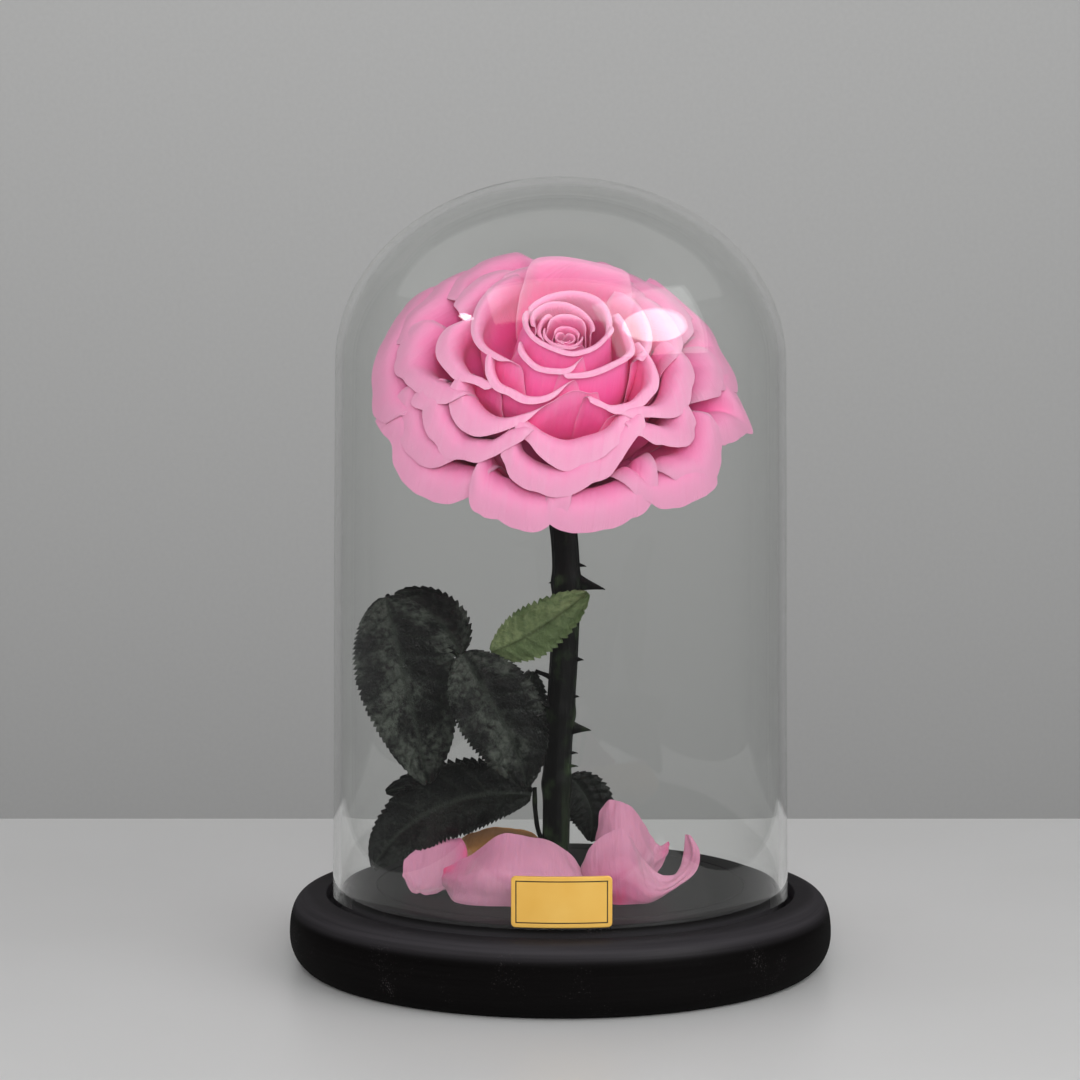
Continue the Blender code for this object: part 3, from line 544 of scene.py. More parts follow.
def closed_rows(rows):
    """Skins a stack of closed rings (rows x columns x 3) and closes its ends with fans to their middles."""
    count, columns = rows.shape[:2]
    points = np.concatenate([rows[1:-1].reshape(-1, 3), rows[0].mean(0)[None], rows[-1].mean(0)[None]])
    index = np.arange((count - 2) * columns).reshape(-1, columns)
    index = np.concatenate([index, index[:, :1]], 1)
    low, high = np.full(columns, len(points) - 2), np.full(columns, len(points) - 1)
    first = np.stack([low, index[0, 1:], index[0, :-1]], -1)
    last = np.stack([high, index[-1, :-1], index[-1, 1:]], -1)
    along = np.linspace(0, 1, count)[1:-1]
    around = np.linspace(0, 1, columns + 1)
    grid = np.stack(np.broadcast_arrays(around[None, :], along[:, None]), -1)
    fan = (around[:-1] + around[1:]) / 2
    first_uv = np.stack([np.stack([fan, 0 * fan], -1), grid[0, 1:], grid[0, :-1]], 1)
    last_uv = np.stack([np.stack([fan, 0 * fan + 1], -1), grid[-1, :-1], grid[-1, 1:]], 1)
    return Shape(points, [cells(index), first, last], [cells(grid), first_uv, last_uv])


def turned(profile, segments, wobble=0.0):
    """A profile of (radius, height) turned once round the Z axis, closed at both its ends on the axis."""
    angle = np.linspace(0, 2 * math.pi, segments, endpoint=False)
    radius = profile[:, 0, None] + wobble + 0 * angle
    return closed_rows(np.stack([radius * np.cos(angle), radius * np.sin(angle),
                                 profile[:, 1, None] + 0 * angle], -1))


def across_and_normal(line, direction):
    """At each point of a line, the unit vector across it nearest to a direction and one across both."""
    tangents = unit(np.gradient(line, axis=0))
    across = unit(direction - tangents * (tangents @ np.asarray(direction, float))[:, None])
    return across, np.cross(tangents, across)


def tube(way, up_radius, side_radius, sides, reference):
    """A closed tube along a way, of elliptic section.

    At each place one radius lies nearest to the reference direction and the other across it and the way.
    """
    across, other = across_and_normal(way, reference)
    angle = np.linspace(0, 2 * math.pi, sides, endpoint=False)[None, :, None]
    up, side = (np.reshape(radius, (len(way), -1, 1)) for radius in (up_radius, side_radius))
    rings = way[:, None] + up * np.cos(angle) * across[:, None] + side * np.sin(angle) * other[:, None]
    ends = [np.broadcast_to(way[k], (1, sides, 3)) for k in (0, -1)]
    return closed_rows(np.concatenate([ends[0], rings, ends[1]]))


def normals(surface):
    """The unit normal of a surface (rows x columns x 3) at each of its points."""
    return unit(np.cross(np.gradient(surface, axis=1), np.gradient(surface, axis=0)))


def sheet(middle, thickness, uv, values):
    """A closed thin solid round a middle surface (rows x columns x 3).

    Both faces are the middle moved by half the thickness along its normal, and a strip joins them all
    round the rim. The front is the face from which the columns run to the right and the rows run up.
    """
    offset = normals(middle) * np.asarray(thickness)[..., None] / 2
    rows, columns = middle.shape[:2]
    count = rows * columns
    index = np.arange(count).reshape(rows, columns)
    front = cells(index)
    rim = np.concatenate([index[0, :-1], index[:-1, -1], index[-1, :0:-1], index[:0:-1, 0]])
    following = np.roll(rim, -1)
    strip = np.stack([rim, rim + count, following + count, following], -1)
    faces = np.concatenate([front, front[:, ::-1] + count, strip])
    both = np.tile(uv.reshape(-1, 2), (2, 1))
    points = np.concatenate([(middle + offset).reshape(-1, 3), (middle - offset).reshape(-1, 3)])
    doubled = {name: np.tile(np.broadcast_to(value, (rows, columns)).ravel(), 2)
               for name, value in values.items()}
    doubled["front"] = np.repeat([1.0, 0.0], count)
    return Shape(points, [faces], [both[faces]], doubled)


def cup_profile(reach, v):
    """Radius and height (mm) on the cup of a rim reach, at v from 0 at its root to 1 at its rim.

    The smooth curve through root, belly, walls, crest, lip and rim, whose places the cups' table gives.
    """
    reach = np.asarray(reach, float)
    places = [np.interp(reach, CUPS[:, 0], column) for column in CUPS.T[1:]]
    share = (reach - CONE_REACH[0]) / (CONE_REACH[1] - CONE_REACH[0])
    along = CONE_FOOT - CONE_TOP
    root = CONE_TOP + share[..., None] * along + CONE_CLEARANCE * unit(np.array([-along[1], along[0]]))
    radii = [root[..., 0], *places[0:10:2], reach + 0 * places[0]]
    heights = [root[..., 1], *places[1:10:2], places[10]]
    return np.stack([blended(CUP_LEVELS, radii, v), blended(CUP_LEVELS, heights, v)], -1)


def head_axes():
    """Unit vectors of the bloom: to its right, to its front and along its axis."""
    c, s = math.cos(HEAD_LEAN), math.sin(HEAD_LEAN)
    lean = np.array([[c, 0.0, s], [0.0, 1.0, 0.0], [-s, 0.0, c]])
    front = np.array([0.0, -math.cos(HEAD_TILT), -math.sin(HEAD_TILT)])
    axis = np.array([0.0, -math.sin(HEAD_TILT), math.cos(HEAD_TILT)])
    return lean[:, 0], lean @ front, lean @ axis


def head_point(radius, azimuth, height):
    """Places (mm) from the bloom's own radius, azimuth and height, which grows towards the back."""
    right, front, axis = head_axes()
    lift = BACK_LIFT * np.clip(radius / LIFT_REACH, 0, LIFT_LIMIT) ** 2 * (1 - np.cos(azimuth)) / 2
    radius, azimuth, height = radius[..., None], azimuth[..., None], (height + lift)[..., None]
    return HEAD_CENTRE + radius * (np.sin(azimuth) * right + np.cos(azimuth) * front) + height * axis


def petal(number, even, rim, rise, thickness, columns=48, rows=36):
    """A petal on its cup.

    u runs across it from -1 to 1, and s from 0 at its claw to 1 at its rim. Its level on the cup is s times
    a share that falls towards its hidden sides and where its lip fades away. Its azimuth is its own, plus
    half its span times u times its width, which widens from the claw as a quarter sine. Its reach is one
    value (even), or the smooth curve through the rim's stations. The rim's rise grows with s squared, and
    the ripples of its radius and height with s cubed.
    """
    u = np.linspace(-1, 1, columns + 1)[None, :]
    s = (1 - (1 - np.linspace(0, 1, rows + 1)) ** 1.35)[:, None]
    if rim:
        before, after, stations, *fades = rim
        at, radii = np.array(stations, float).T
        azimuth, half_span = (at[-1] + after + at[0] - before) / 2, (at[-1] + after - at[0] + before) / 2
        place = azimuth + half_span * u
        reach = through(at, radii, place)
        past = np.maximum((at[0] - place) / before, 0) + np.maximum((place - at[-1]) / after, 0)
        level = 1 - END_FALL * past ** 1.25 - FADE_FALL * sum(eased(*fade, place) for fade in fades)
    else:
        azimuth, half_span, reach = even
        level = 1 - EVEN_FALL * np.abs(u) ** 3.2
    # Each of its ripples takes its seed from a hundred of its own
    level = level * (1 - 0.05 * eased(0.9, 1.0, np.abs(u)) - 0.004 * ripples(300 + number, 2.5 * u))
    v = s * level
    width = CLAW_WIDTH + (1 - CLAW_WIDTH) * np.sin(np.clip(v / WIDEST_LEVEL, 0, 1) * math.pi / 2)
    angle = np.radians(azimuth + half_span * u * width)
    profile = cup_profile(reach, v)
    outer = eased(30, 66, np.mean(reach))
    away = s ** 3 * (0.3 + 0.5 * outer) * ripples(100 + number, 0.8 * u, 0.5 * v)
    crumple = outer * eased(0.4, 0.9, s) * ripples(400 + number, 1.7 * u, 1.3 * v)
    radius = profile[..., 0] + away
    height = (profile[..., 1] + rise * s ** 2 + 0.4 * s ** 3 * ripples(200 + number, 0.8 * u, 0.4 * v)
              + 0.3 * crumple)
    middle = head_point(radius, angle, height)
    side_fall = 1 - eased(0.93, 1.0, np.abs(u) + 0 * s)
    fall = np.minimum(1 - eased(0.94, 1.0, s + 0 * u), side_fall)
    uv = np.stack(np.broadcast_arrays(radius * angle * MM, PATTERN_LENGTH * MM * v + 0 * u), -1)
    values = {"level": s + 0 * u, "reach": reach / CONE_REACH[1] + 0 * s * u}
    return sheet(middle, thickness * (EDGE_SHARE + (1 - EDGE_SHARE) * fall), uv, values)


def leaf(seed, midrib, direction, halves, fold, teeth, thickness):
    """A rose leaflet.

    Rows run along the midrib's cubic curve, columns c across from -1 to 1. The half width is the sine
    of the warped place along the leaf, times saw teeth that rise to their tip and drop back. The blade
    folds up from the midrib, puffs between its side veins and waves a little.
    """
    steps = np.array([0.0, 0.3, 0.6, 0.86, 0.97])
    t = np.append((np.arange(teeth)[:, None] + steps).ravel(), teeth - 0.02) / teeth
    saw = np.append(np.tile([0.0, 0.36, 0.7, 1.0, 0.5], teeth), 0.0)
    c = np.sin(np.linspace(-1, 1, 27) * math.pi / 2) * 0.5 + np.linspace(-1, 1, 27) * 0.5
    line = bezier(midrib, t)
    across, normal = across_and_normal(line, direction)
    outline = np.sin(math.pi * (0.012 + 0.982 * t) ** 0.92) ** 0.62
    dice = np.random.default_rng(seed)
    size = through(np.linspace(0, 1, 25), dice.uniform(0.4, 1.6, 25), t)
    deep = TOOTH_DEPTH / max(halves) * (1 - saw) * size
    half = np.where(c < 0, halves[0], halves[1])[None, :] * outline[:, None]
    margin = eased(0.55, 1.0, np.abs(c))[None, :]
    out = c[None, :] * half * (1 - deep[:, None] * margin)
    spread = np.abs(c)[None, :]
    # The side veins run forwards from the midrib
    puff = np.abs(np.sin(math.pi * (SIDE_VEINS * (t[:, None] - 0.13 * spread)))) ** 0.7
    lift = (fold * (np.sqrt(out ** 2 + 0.8) - 0.9)
            + PUFF * puff * eased(0.04, 0.35, spread) * (1 - eased(0.8, 1.0, spread)) * outline[:, None]
            + LEAF_WAVE * spread ** 2 * ripples(seed + 10, 1.2 * t[:, None], 0.8 * c[None, :])
            + LEAF_CRINKLE * ripples(seed + 20, 4.0 * t[:, None], 2.2 * c[None, :])
            - MIDRIB_DEPTH * np.exp(-(out / 0.5) ** 2))
    middle = line[:, None] + across[:, None] * out[..., None] + normal[:, None] * lift[..., None]
    uv = np.stack([out * MM, np.broadcast_to((t * distances(line)[-1] * MM)[:, None], out.shape)], -1)
    values = {"rib": np.exp(-(out / (0.25 + 0.3 * (1 - t[:, None]))) ** 2),
              "vein": (1 - eased(0.0, 0.45, puff)) * (1 - eased(0.7, 1.0, spread))}
    thick = thickness * (0.4 + 0.6 * (1 - eased(0.85, 1.0, spread))) * np.ones_like(out)
    return sheet(middle, thick, uv, values)


def fallen_petal(seed, right, up, places, thickness):
    """A petal that lies on the plateau.

    Smooth curves run through the places, first from the left to the right (u), then from the low edge to
    the high one (v), which draw together at the ends. Ripples crinkle the sheet, and its lowest point is
    set down on the wood. Its level is the distance from the claw, which lies at (right, up).
    """
    places = np.reshape(places, (-1, 3, 3)).astype(float)
    u = np.linspace(0, 1, 61)
    across = through(np.linspace(0, 1, len(places)), places, u)
    reach = (0.96 - 0.3 * np.abs(2 * u - 1) ** 7 + 0.02 * ripples(seed, 2.5 * u))[None, :]
    v = 0.5 + (np.linspace(0, 1, 41)[:, None] - 0.5) * reach
    rows = [across[:, k] for k in range(3)]
    middle = np.stack([blended((0.0, 0.5, 1.0), [row[None, :, k] + 0 * v for row in rows], v)
                       for k in range(3)], -1)
    crinkle = (0.4 * ripples(seed + 5, 2.2 * u[None, :], 1.6 * v)
               + 0.15 * ripples(seed + 9, 7 * u[None, :], 3 * v))
    middle = middle + normals(middle) * crinkle[..., None]
    edge = np.minimum(eased(0, 0.06, 0.5 - np.abs(v - 0.5) / reach),
                      eased(0, 0.06, np.minimum(u, 1 - u))[None, :])
    thick = thickness * (EDGE_SHARE + (1 - EDGE_SHARE) * edge)
    middle[..., 2] += PLATEAU + LAID_GAP - (middle[..., 2] - thick / 2).min()
    apart = np.sqrt((u[None, :] - right) ** 2 + (0.6 * (v - up)) ** 2)
    uv = np.stack(np.broadcast_arrays(distances(places[:, 1])[-1] * u[None, :] * MM, 0.020 * v), -1)
    return sheet(middle, thick, uv, {"level": np.clip(apart / 0.45, 0, 1)})


def fill(tree, made, inputs):
    """Fills a node's inputs with values or with other nodes' outputs.

    The inputs are given by name, or as a list in the order of those that are in use: value, from min, from
    max, to min and to max for MapRange, and share, first and second colour for Mix. A node that is given as
    an input stands for the first of its outputs that is in use.
    """
    if isinstance(inputs, dict):
        sockets = [made.inputs[name] for name in inputs]
        inputs = inputs.values()
    else:
        sockets = [socket for socket in made.inputs if socket.enabled]
    for socket, value in zip(sockets, inputs):
        if isinstance(value, bpy.types.Node):
            value = next(output for output in value.outputs if output.enabled)
        if isinstance(value, bpy.types.NodeSocket):
            tree.links.new(value, socket)
        else:
            socket.default_value = value


def node(tree, kind, inputs=(), stops=(), **settings):
    """Adds a node with its settings, its colour stops and its inputs."""
    made = tree.nodes.new("ShaderNode" + kind)
    for name, value in settings.items():
        setattr(made, name, value)
    if stops:
        elements = made.color_ramp.elements
        while len(elements) < len(stops):
            elements.new(1.0)
        for element, (position, colour) in zip(elements, stops):
            element.position, element.color = position, colour
    fill(tree, made, inputs)
    return made


def connect(tree, shader, **sockets):
    """Fills the shader's sockets, which are named with _ for a space."""
    fill(tree, shader, {name.replace("_", " "): value for name, value in sockets.items()})


def new_material(name, **inputs):
    """A material with one Principled shader, whose sockets are given by name, then its tree and shader."""
    material = bpy.data.materials.new(name)
    material.use_nodes = True
    tree = material.node_tree
    tree.nodes.clear()
    shader = node(tree, "BsdfPrincipled")
    connect(tree, shader, **inputs)
    node(tree, "OutputMaterial", {"Surface": shader})
    return material, tree, shader


def lacquered_wood(settings):
    """Turned wood under satin black lacquer.

    The eye gets a soft highlight, partly as a painted highlight: a paler band along the side's upper edge.
    It also gets faint grain along the turning and thin patches of dust.
    """
    material, tree, shader = new_material("satin_black_lacquered_wood", Roughness=0.5, IOR=1.5,
                                          Specular_IOR_Level=0, Coat_Roughness=0.36)
    place = node(tree, "TexCoord").outputs["Object"]
    # Grain lines about 0.5 mm apart in height and tens of mm long round the side
    stretched = node(tree, "Mapping", {"Vector": place, "Scale": (18, 18, 900)})
    grain = node(tree, "TexNoise", {"Vector": stretched, "Scale": 1, "Detail": 4, "Roughness": 0.6})
    # Dust and specks about 0.4 mm across
    specks = node(tree, "TexNoise", {"Vector": place, "Scale": 1600, "Detail": 2})
    patches = node(tree, "TexNoise", {"Vector": place, "Scale": 45, "Detail": 3})
    dusty = node(tree, "Math", [specks, patches], operation="MULTIPLY")
    dust = node(tree, "MapRange", [dusty, 0.36, 0.50, 0, 0.35])
    light = node(tree, "Mix", [grain, settings.wood_colour, linear("0D0C0C")], data_type="RGBA")
    colour = node(tree, "Mix", [dust, light, linear("6B6566")], data_type="RGBA")
    # Painted highlight: a paler band along the side's upper edge, streaked by the grain, stands in for the
    # satin sheen that the light gives there
    height = node(tree, "SeparateXYZ", [place]).outputs["Z"]
    above = node(tree, "MapRange", [height, 0.0195, 0.0245], interpolation_type="SMOOTHSTEP")
    below = node(tree, "MapRange", [height, 0.0258, 0.0285, 1, 0], interpolation_type="SMOOTHSTEP")
    edge = node(tree, "Math", [above, below], operation="MULTIPLY")
    streaks = node(tree, "MapRange", [grain, 0.25, 0.75, 0.6])
    painted_highlight = node(tree, "Math", [edge, streaks], operation="MULTIPLY")
    colour = node(tree, "Mix", [painted_highlight, colour, linear("383639")], data_type="RGBA")
    # The plateau, under the glass, kept its gloss; the outside is rubbed dull
    coat = node(tree, "MapRange", [height, 0.0288, 0.0296, 0.09, 0.20])
    gloss = node(tree, "MapRange", [grain, 0, 1, 0.38, 0.55])
    relief = node(tree, "Bump", {"Height": grain, "Strength": 0.25, "Distance": 0.0003})
    connect(tree, shader, Base_Color=colour, Roughness=gloss, Normal=relief, Coat_Normal=relief,
            Coat_Weight=coat)
    return material


def blown_glass(settings):
    """Clear soda-lime glass, blown and cut at its foot: smooth, with next to no colour of its own."""
    material, _, _ = new_material("clear_blown_soda_lime_glass", Base_Color=tuple(settings.glass_colour),
                                  Roughness=0, IOR=1.45, Transmission_Weight=1)
    return material


def gold_plate_metal(settings):
    """Brushed brass under gold lacquer with a printed black border line: warm, with soft streaks across.

    The tinted lacquer scatters some light, so the plate isn't wholly metallic.
    """
    material, tree, shader = new_material("gold_lacquered_brass", Metallic=0.5, Roughness=0.3)
    place = node(tree, "TexCoord").outputs["Object"]
    # Brush lines about 0.15 mm apart, drawn some 2 mm long
    stretched = node(tree, "Mapping", {"Vector": place, "Scale": (500, 500, 6500)})
    brush = node(tree, "TexNoise", {"Vector": stretched, "Scale": 1, "Detail": 2})
    cloud = node(tree, "TexNoise", {"Vector": place, "Scale": 90, "Detail": 2})
    tone = node(tree, "Mix", [cloud, linear("F5BC54"), settings.plate_colour], data_type="RGBA")
    inset = node(tree, "Attribute", attribute_name="inset").outputs["Fac"]
    off_line = node(tree, "Math", [inset, BORDER_INSET], operation="SUBTRACT")
    apart = node(tree, "Math", [off_line], operation="ABSOLUTE")
    ink = node(tree, "MapRange", [apart, 0.16, 0.26, 1, 0])
    colour = node(tree, "Mix", [ink, tone, linear("1C130B")], data_type="RGBA")
    metal = node(tree, "MapRange", [ink, 0, 1, 0.5, 0])
    gloss = node(tree, "MapRange", [brush, 0, 1, 0.28, 0.42])
    connect(tree, shader, Base_Color=colour, Metallic=metal, Roughness=gloss)
    return material


def stem_skin(settings):
    """Dyed, dried rose bark: near black, slightly glossy, with fine lengthwise ridges and green patches."""
    material, tree, shader = new_material("dyed_rose_bark", Roughness=0.45, IOR=1.45,
                                          Specular_IOR_Level=0.15)
    place = node(tree, "TexCoord").outputs["Object"]
    # Ridges about 0.6 mm apart round the stem and many mm long
    stretched = node(tree, "Mapping", {"Vector": place, "Scale": (1500, 1500, 60)})
    ridge = node(tree, "TexNoise", {"Vector": stretched, "Scale": 1, "Detail": 4})
    patch = node(tree, "TexNoise", {"Vector": place, "Scale": 120, "Detail": 3})
    green = node(tree, "MapRange", [patch, 0.55, 0.75, 0, 0.8])
    # Painted highlight: a green band runs up the stem's right side from the foot, where its lit edge shows
    # green
    where = node(tree, "SeparateXYZ", [place])
    aside = node(tree, "Math", [where.outputs["X"], 0.0022, 0.0017], operation="COMPARE")
    foot = node(tree, "MapRange", [where.outputs["Z"], 0.050, 0.074, 0.8, 0])
    painted_green_highlight = node(tree, "Math", [aside, foot], operation="MULTIPLY")
    broken = node(tree, "Math", [painted_green_highlight, ridge], operation="MULTIPLY")
    # The green patches and the painted highlight, whichever is stronger at each place
    thin = node(tree, "Math", [green, broken], operation="MAXIMUM")
    colour = node(tree, "Mix", [thin, settings.stem_colour, linear("2C3A24")], data_type="RGBA")
    relief = node(tree, "Bump", {"Height": ridge, "Strength": 0.5, "Distance": 0.0006})
    connect(tree, shader, Base_Color=colour, Normal=relief)
    return material


def leaf_blade(settings, pale=False, sheen=0.36):
    """Preserved rose leaf: dark, leathery, with a painted mottled grey sheen, paler veins and a fine net
    between.

    The pale one is the leaf's matt underside, olive green with darker veins.
    """
    name = "preserved_leaf_underside" if pale else "leaf_face_painted_sheen_%d" % round(100 * sheen)
    material, tree, shader = new_material(name, Roughness=0.4, IOR=1.45, Specular_IOR_Level=0.4)
    uv = node(tree, "UVMap", uv_map="UVMap")
    rib = node(tree, "Attribute", attribute_name="rib").outputs["Fac"]
    vein = node(tree, "Attribute", attribute_name="vein").outputs["Fac"]
    # Net of small veins about 1 mm apart
    net = node(tree, "TexVoronoi", {"Vector": uv, "Scale": 1100, "Randomness": 1},
               feature="DISTANCE_TO_EDGE", voronoi_dimensions="2D")
    mottle = node(tree, "TexNoise", {"Vector": uv, "Scale": 420, "Detail": 5, "Roughness": 0.7},
                  noise_dimensions="2D")
    # Soft patches some 15 mm wide, in which the mottle is strong
    patch = node(tree, "TexNoise", {"Vector": uv, "Scale": 70, "Detail": 2}, noise_dimensions="2D")
    both = node(tree, "Math", [mottle, patch], operation="MULTIPLY")
    # Painted sheen: in these patches the mottle mixes the colour towards the first tone below, by up to the
    # sheen share; on the dark face that tone is a light grey
    grey = node(tree, "MapRange", [both, 0.20, 0.40, 0, 0.5 if pale else sheen])
    base = settings.pale_leaf_colour if pale else settings.leaf_colour
    tones = ("7E895F", "3D4A2A", "3A4526") if pale else ("6C7469", "1A1F1A", "252A24")
    other, vein_tone, rib_tone = map(linear, tones)
    painted_sheen_colour = node(tree, "Mix", [grey, base, other], data_type="RGBA")
    veins = node(tree, "Mix", [vein, painted_sheen_colour, vein_tone], data_type="RGBA")
    ribs = node(tree, "Mix", [rib, veins, rib_tone], data_type="RGBA")
    gloss = node(tree, "MapRange", [mottle, 0.3, 0.7, 0.28, 0.5])
    fine = node(tree, "MapRange", [net, 0, 0.12])
    relief = node(tree, "Bump", {"Height": fine, "Strength": 0.35, "Distance": 0.0003})
    waves = node(tree, "Bump", {"Height": mottle, "Normal": relief, "Strength": 0.8, "Distance": 0.0016})
    connect(tree, shader, Base_Color=ribs, Roughness=gloss, Normal=waves)
    return material


def petal_skin(settings):
    """Dyed preserved rose petal: velvety, matt, a little translucent, pale at its lip, deep at its claw."""
    material, tree, shader = new_material("dyed_velvet_petal", Roughness=0.7, IOR=1.4,
                                          Specular_IOR_Level=0.2, Sheen_Weight=0.08, Sheen_Roughness=0.5,
                                          Subsurface_Weight=0.2, Subsurface_Scale=0.0005,
                                          Subsurface_Radius=(1, 0.7, 0.8))
    uv = node(tree, "UVMap", uv_map="UVMap")
    level = node(tree, "Attribute", attribute_name="level").outputs["Fac"]
    # Veins about 1.2 mm apart across the petal and tens of mm long
    stretched = node(tree, "Mapping", {"Vector": uv, "Scale": (800, 60, 1)})
    veins = node(tree, "TexNoise", {"Vector": stretched, "Scale": 1, "Detail": 3}, noise_dimensions="2D")
    # Fine grain of the skin, about 0.3 mm
    grain = node(tree, "TexNoise", {"Vector": uv, "Scale": 3200, "Detail": 2}, noise_dimensions="2D")
    jitter = node(tree, "MapRange", [veins, 0, 1, -0.08, 0.08])
    # The outer face is deeper pink than the inner one at the same level
    face = node(tree, "Attribute", attribute_name="front").outputs["Fac"]
    outer = node(tree, "Math", [face, -0.17, jitter], operation="MULTIPLY_ADD")
    place = node(tree, "Math", [level, outer], operation="ADD")
    # Painted shade: on the outer petals the claw's deep pink reaches further up, standing in for the shade
    # under the petals in front; towards their rims they turn duller
    reach = node(tree, "Attribute", attribute_name="reach").outputs["Fac"]
    outer_share = node(tree, "MapRange", [reach, 0.45, 0.85])
    below_rim = node(tree, "Math", [1, level], operation="SUBTRACT")
    deeper = node(tree, "Math", [outer_share, below_rim], operation="MULTIPLY")
    place = node(tree, "Math", [deeper, -1.8, place], operation="MULTIPLY_ADD")
    stops = [(0.45, tuple(settings.claw_colour)), (0.72, tuple(settings.middle_colour)),
             (0.88, tuple(settings.rim_colour)), (1, linear("F2AECC"))]
    lively = node(tree, "ValToRGB", {"Fac": place}, stops=stops)
    near_rim = node(tree, "MapRange", [level, 0.82, 1, 0.15, 0.9])
    share = node(tree, "Math", [outer_share, near_rim], operation="MULTIPLY")
    colour = node(tree, "Mix", [share, lively, linear("CF8DAB")], data_type="RGBA")
    soft = node(tree, "Bump", {"Height": veins, "Strength": 0.3, "Distance": 0.0006})
    relief = node(tree, "Bump", {"Height": grain, "Normal": soft, "Strength": 0.10, "Distance": 0.0002})
    connect(tree, shader, Base_Color=colour, Normal=relief)
    return material


def fallen_skin(settings, dried=False):
    """A petal that has fallen: the same skin, duller and finely wrinkled, or dried to a tan parchment."""
    name = "dried_petal_parchment" if dried else "fallen_velvet_petal"
    material, tree, shader = new_material(name, Roughness=0.6, IOR=1.4, Sheen_Weight=0.15,
                                          Subsurface_Weight=0.1, Subsurface_Scale=0.002)
    uv = node(tree, "UVMap", uv_map="UVMap")
    level = node(tree, "Attribute", attribute_name="level").outputs["Fac"]
    # Wrinkles about 2 mm apart along the petal
    stretched = node(tree, "Mapping", {"Vector": uv, "Scale": (520, 150, 1)})
    wrinkle = node(tree, "TexNoise", {"Vector": stretched, "Scale": 1, "Detail": 4}, noise_dimensions="2D")
    jitter = node(tree, "MapRange", [wrinkle, 0, 1, -0.15, 0.15])
    place = node(tree, "Math", [level, jitter], operation="ADD")
    if dried:
        stops = [(0.1, linear("5A3A1C")), (0.55, tuple(settings.dried_colour)), (1, linear("B58A58"))]
    else:
        stops = [(0, linear("D2356F")), (0.22, linear("BE5C86")), (0.6, tuple(settings.fallen_colour)),
                 (1, linear("C0829C"))]
    colour = node(tree, "ValToRGB", {"Fac": place}, stops=stops)
    relief = node(tree, "Bump", {"Height": wrinkle, "Strength": 0.45, "Distance": 0.001})
    connect(tree, shader, Base_Color=colour, Normal=relief)
    return material


def base_profile(radius):
    """The base's outline (radius, height in mm) from the middle of its underside over its side, ring,
    groove and plateau to the middle of its top, with each edge rounded."""
    low = np.radians(np.linspace(-84, 0, 14))
    side = np.stack([FOOT_RADIUS + (radius - FOOT_RADIUS) * np.cos(low),
                     WIDEST_HEIGHT + WIDEST_HEIGHT * np.sin(low)], -1)
    ring = radius - SHOULDER_WIDTH
    high = bezier([(radius, WIDEST_HEIGHT), (radius, RING_TOP - 6.5), (radius - 1.6, RING_TOP - 0.6),
                   (radius - 6.5, RING_TOP - 0.2), (ring, RING_TOP)], np.linspace(0, 1, 26))[1:]
    groove = [(ring, RING_TOP, 0), (GROOVE_OUTER, RING_TOP, 0.7), (GROOVE_OUTER, GROOVE_FLOOR, 0.8),
              (GROOVE_INNER, GROOVE_FLOOR, 0.8), (GROOVE_INNER, PLATEAU, 1.1),
              (SCRIBED_RADIUS + SCRIBE, PLATEAU, 0.15), (SCRIBED_RADIUS, PLATEAU - 0.4, 0.15),
              (SCRIBED_RADIUS - SCRIBE, PLATEAU, 0.15)]
    plateau = [(reach, PLATEAU, 0) for reach in (50, 30, 12, 0)]
    underside = [(reach, 0) for reach in (0, 30, 60, FOOT_RADIUS - 2)]
    return np.concatenate([underside, side, high[:-1], rounded(groove + plateau)])


def dome_profile(wall):
    """The glass's outline (mm): down its inside from the top, round its foot and up its outside.

    The side is straight up to the shoulder, and the cap is a quarter ellipse.
    """
    def line(inset):
        side = np.linspace(0, 1, 20)[:, None]
        foot, shoulder = np.array(DOME_FOOT) - (inset, -GLASS_ROUND), np.array(DOME_SHOULDER) - (inset, 0)
        cap = np.radians(np.linspace(0, 90, 60))[1:]
        curve = np.stack([(DOME_SHOULDER[0] - inset) * np.cos(cap),
                          DOME_SHOULDER[1] + (DOME_TOP - DOME_SHOULDER[1] - inset) * np.sin(cap)], -1)
        curve[-1, 0] = 0.0
        return np.concatenate([foot + side * (shoulder - foot), curve])
    turn = np.radians(np.linspace(180, 360, 9))[1:-1]
    middle = np.array([DOME_FOOT[0] - wall / 2, DOME_FOOT[1] + GLASS_ROUND])
    foot = middle + np.stack([wall / 2 * np.cos(turn), GLASS_ROUND * np.sin(turn)], -1)
    return np.concatenate([line(wall)[::-1], foot, line(0.0)])


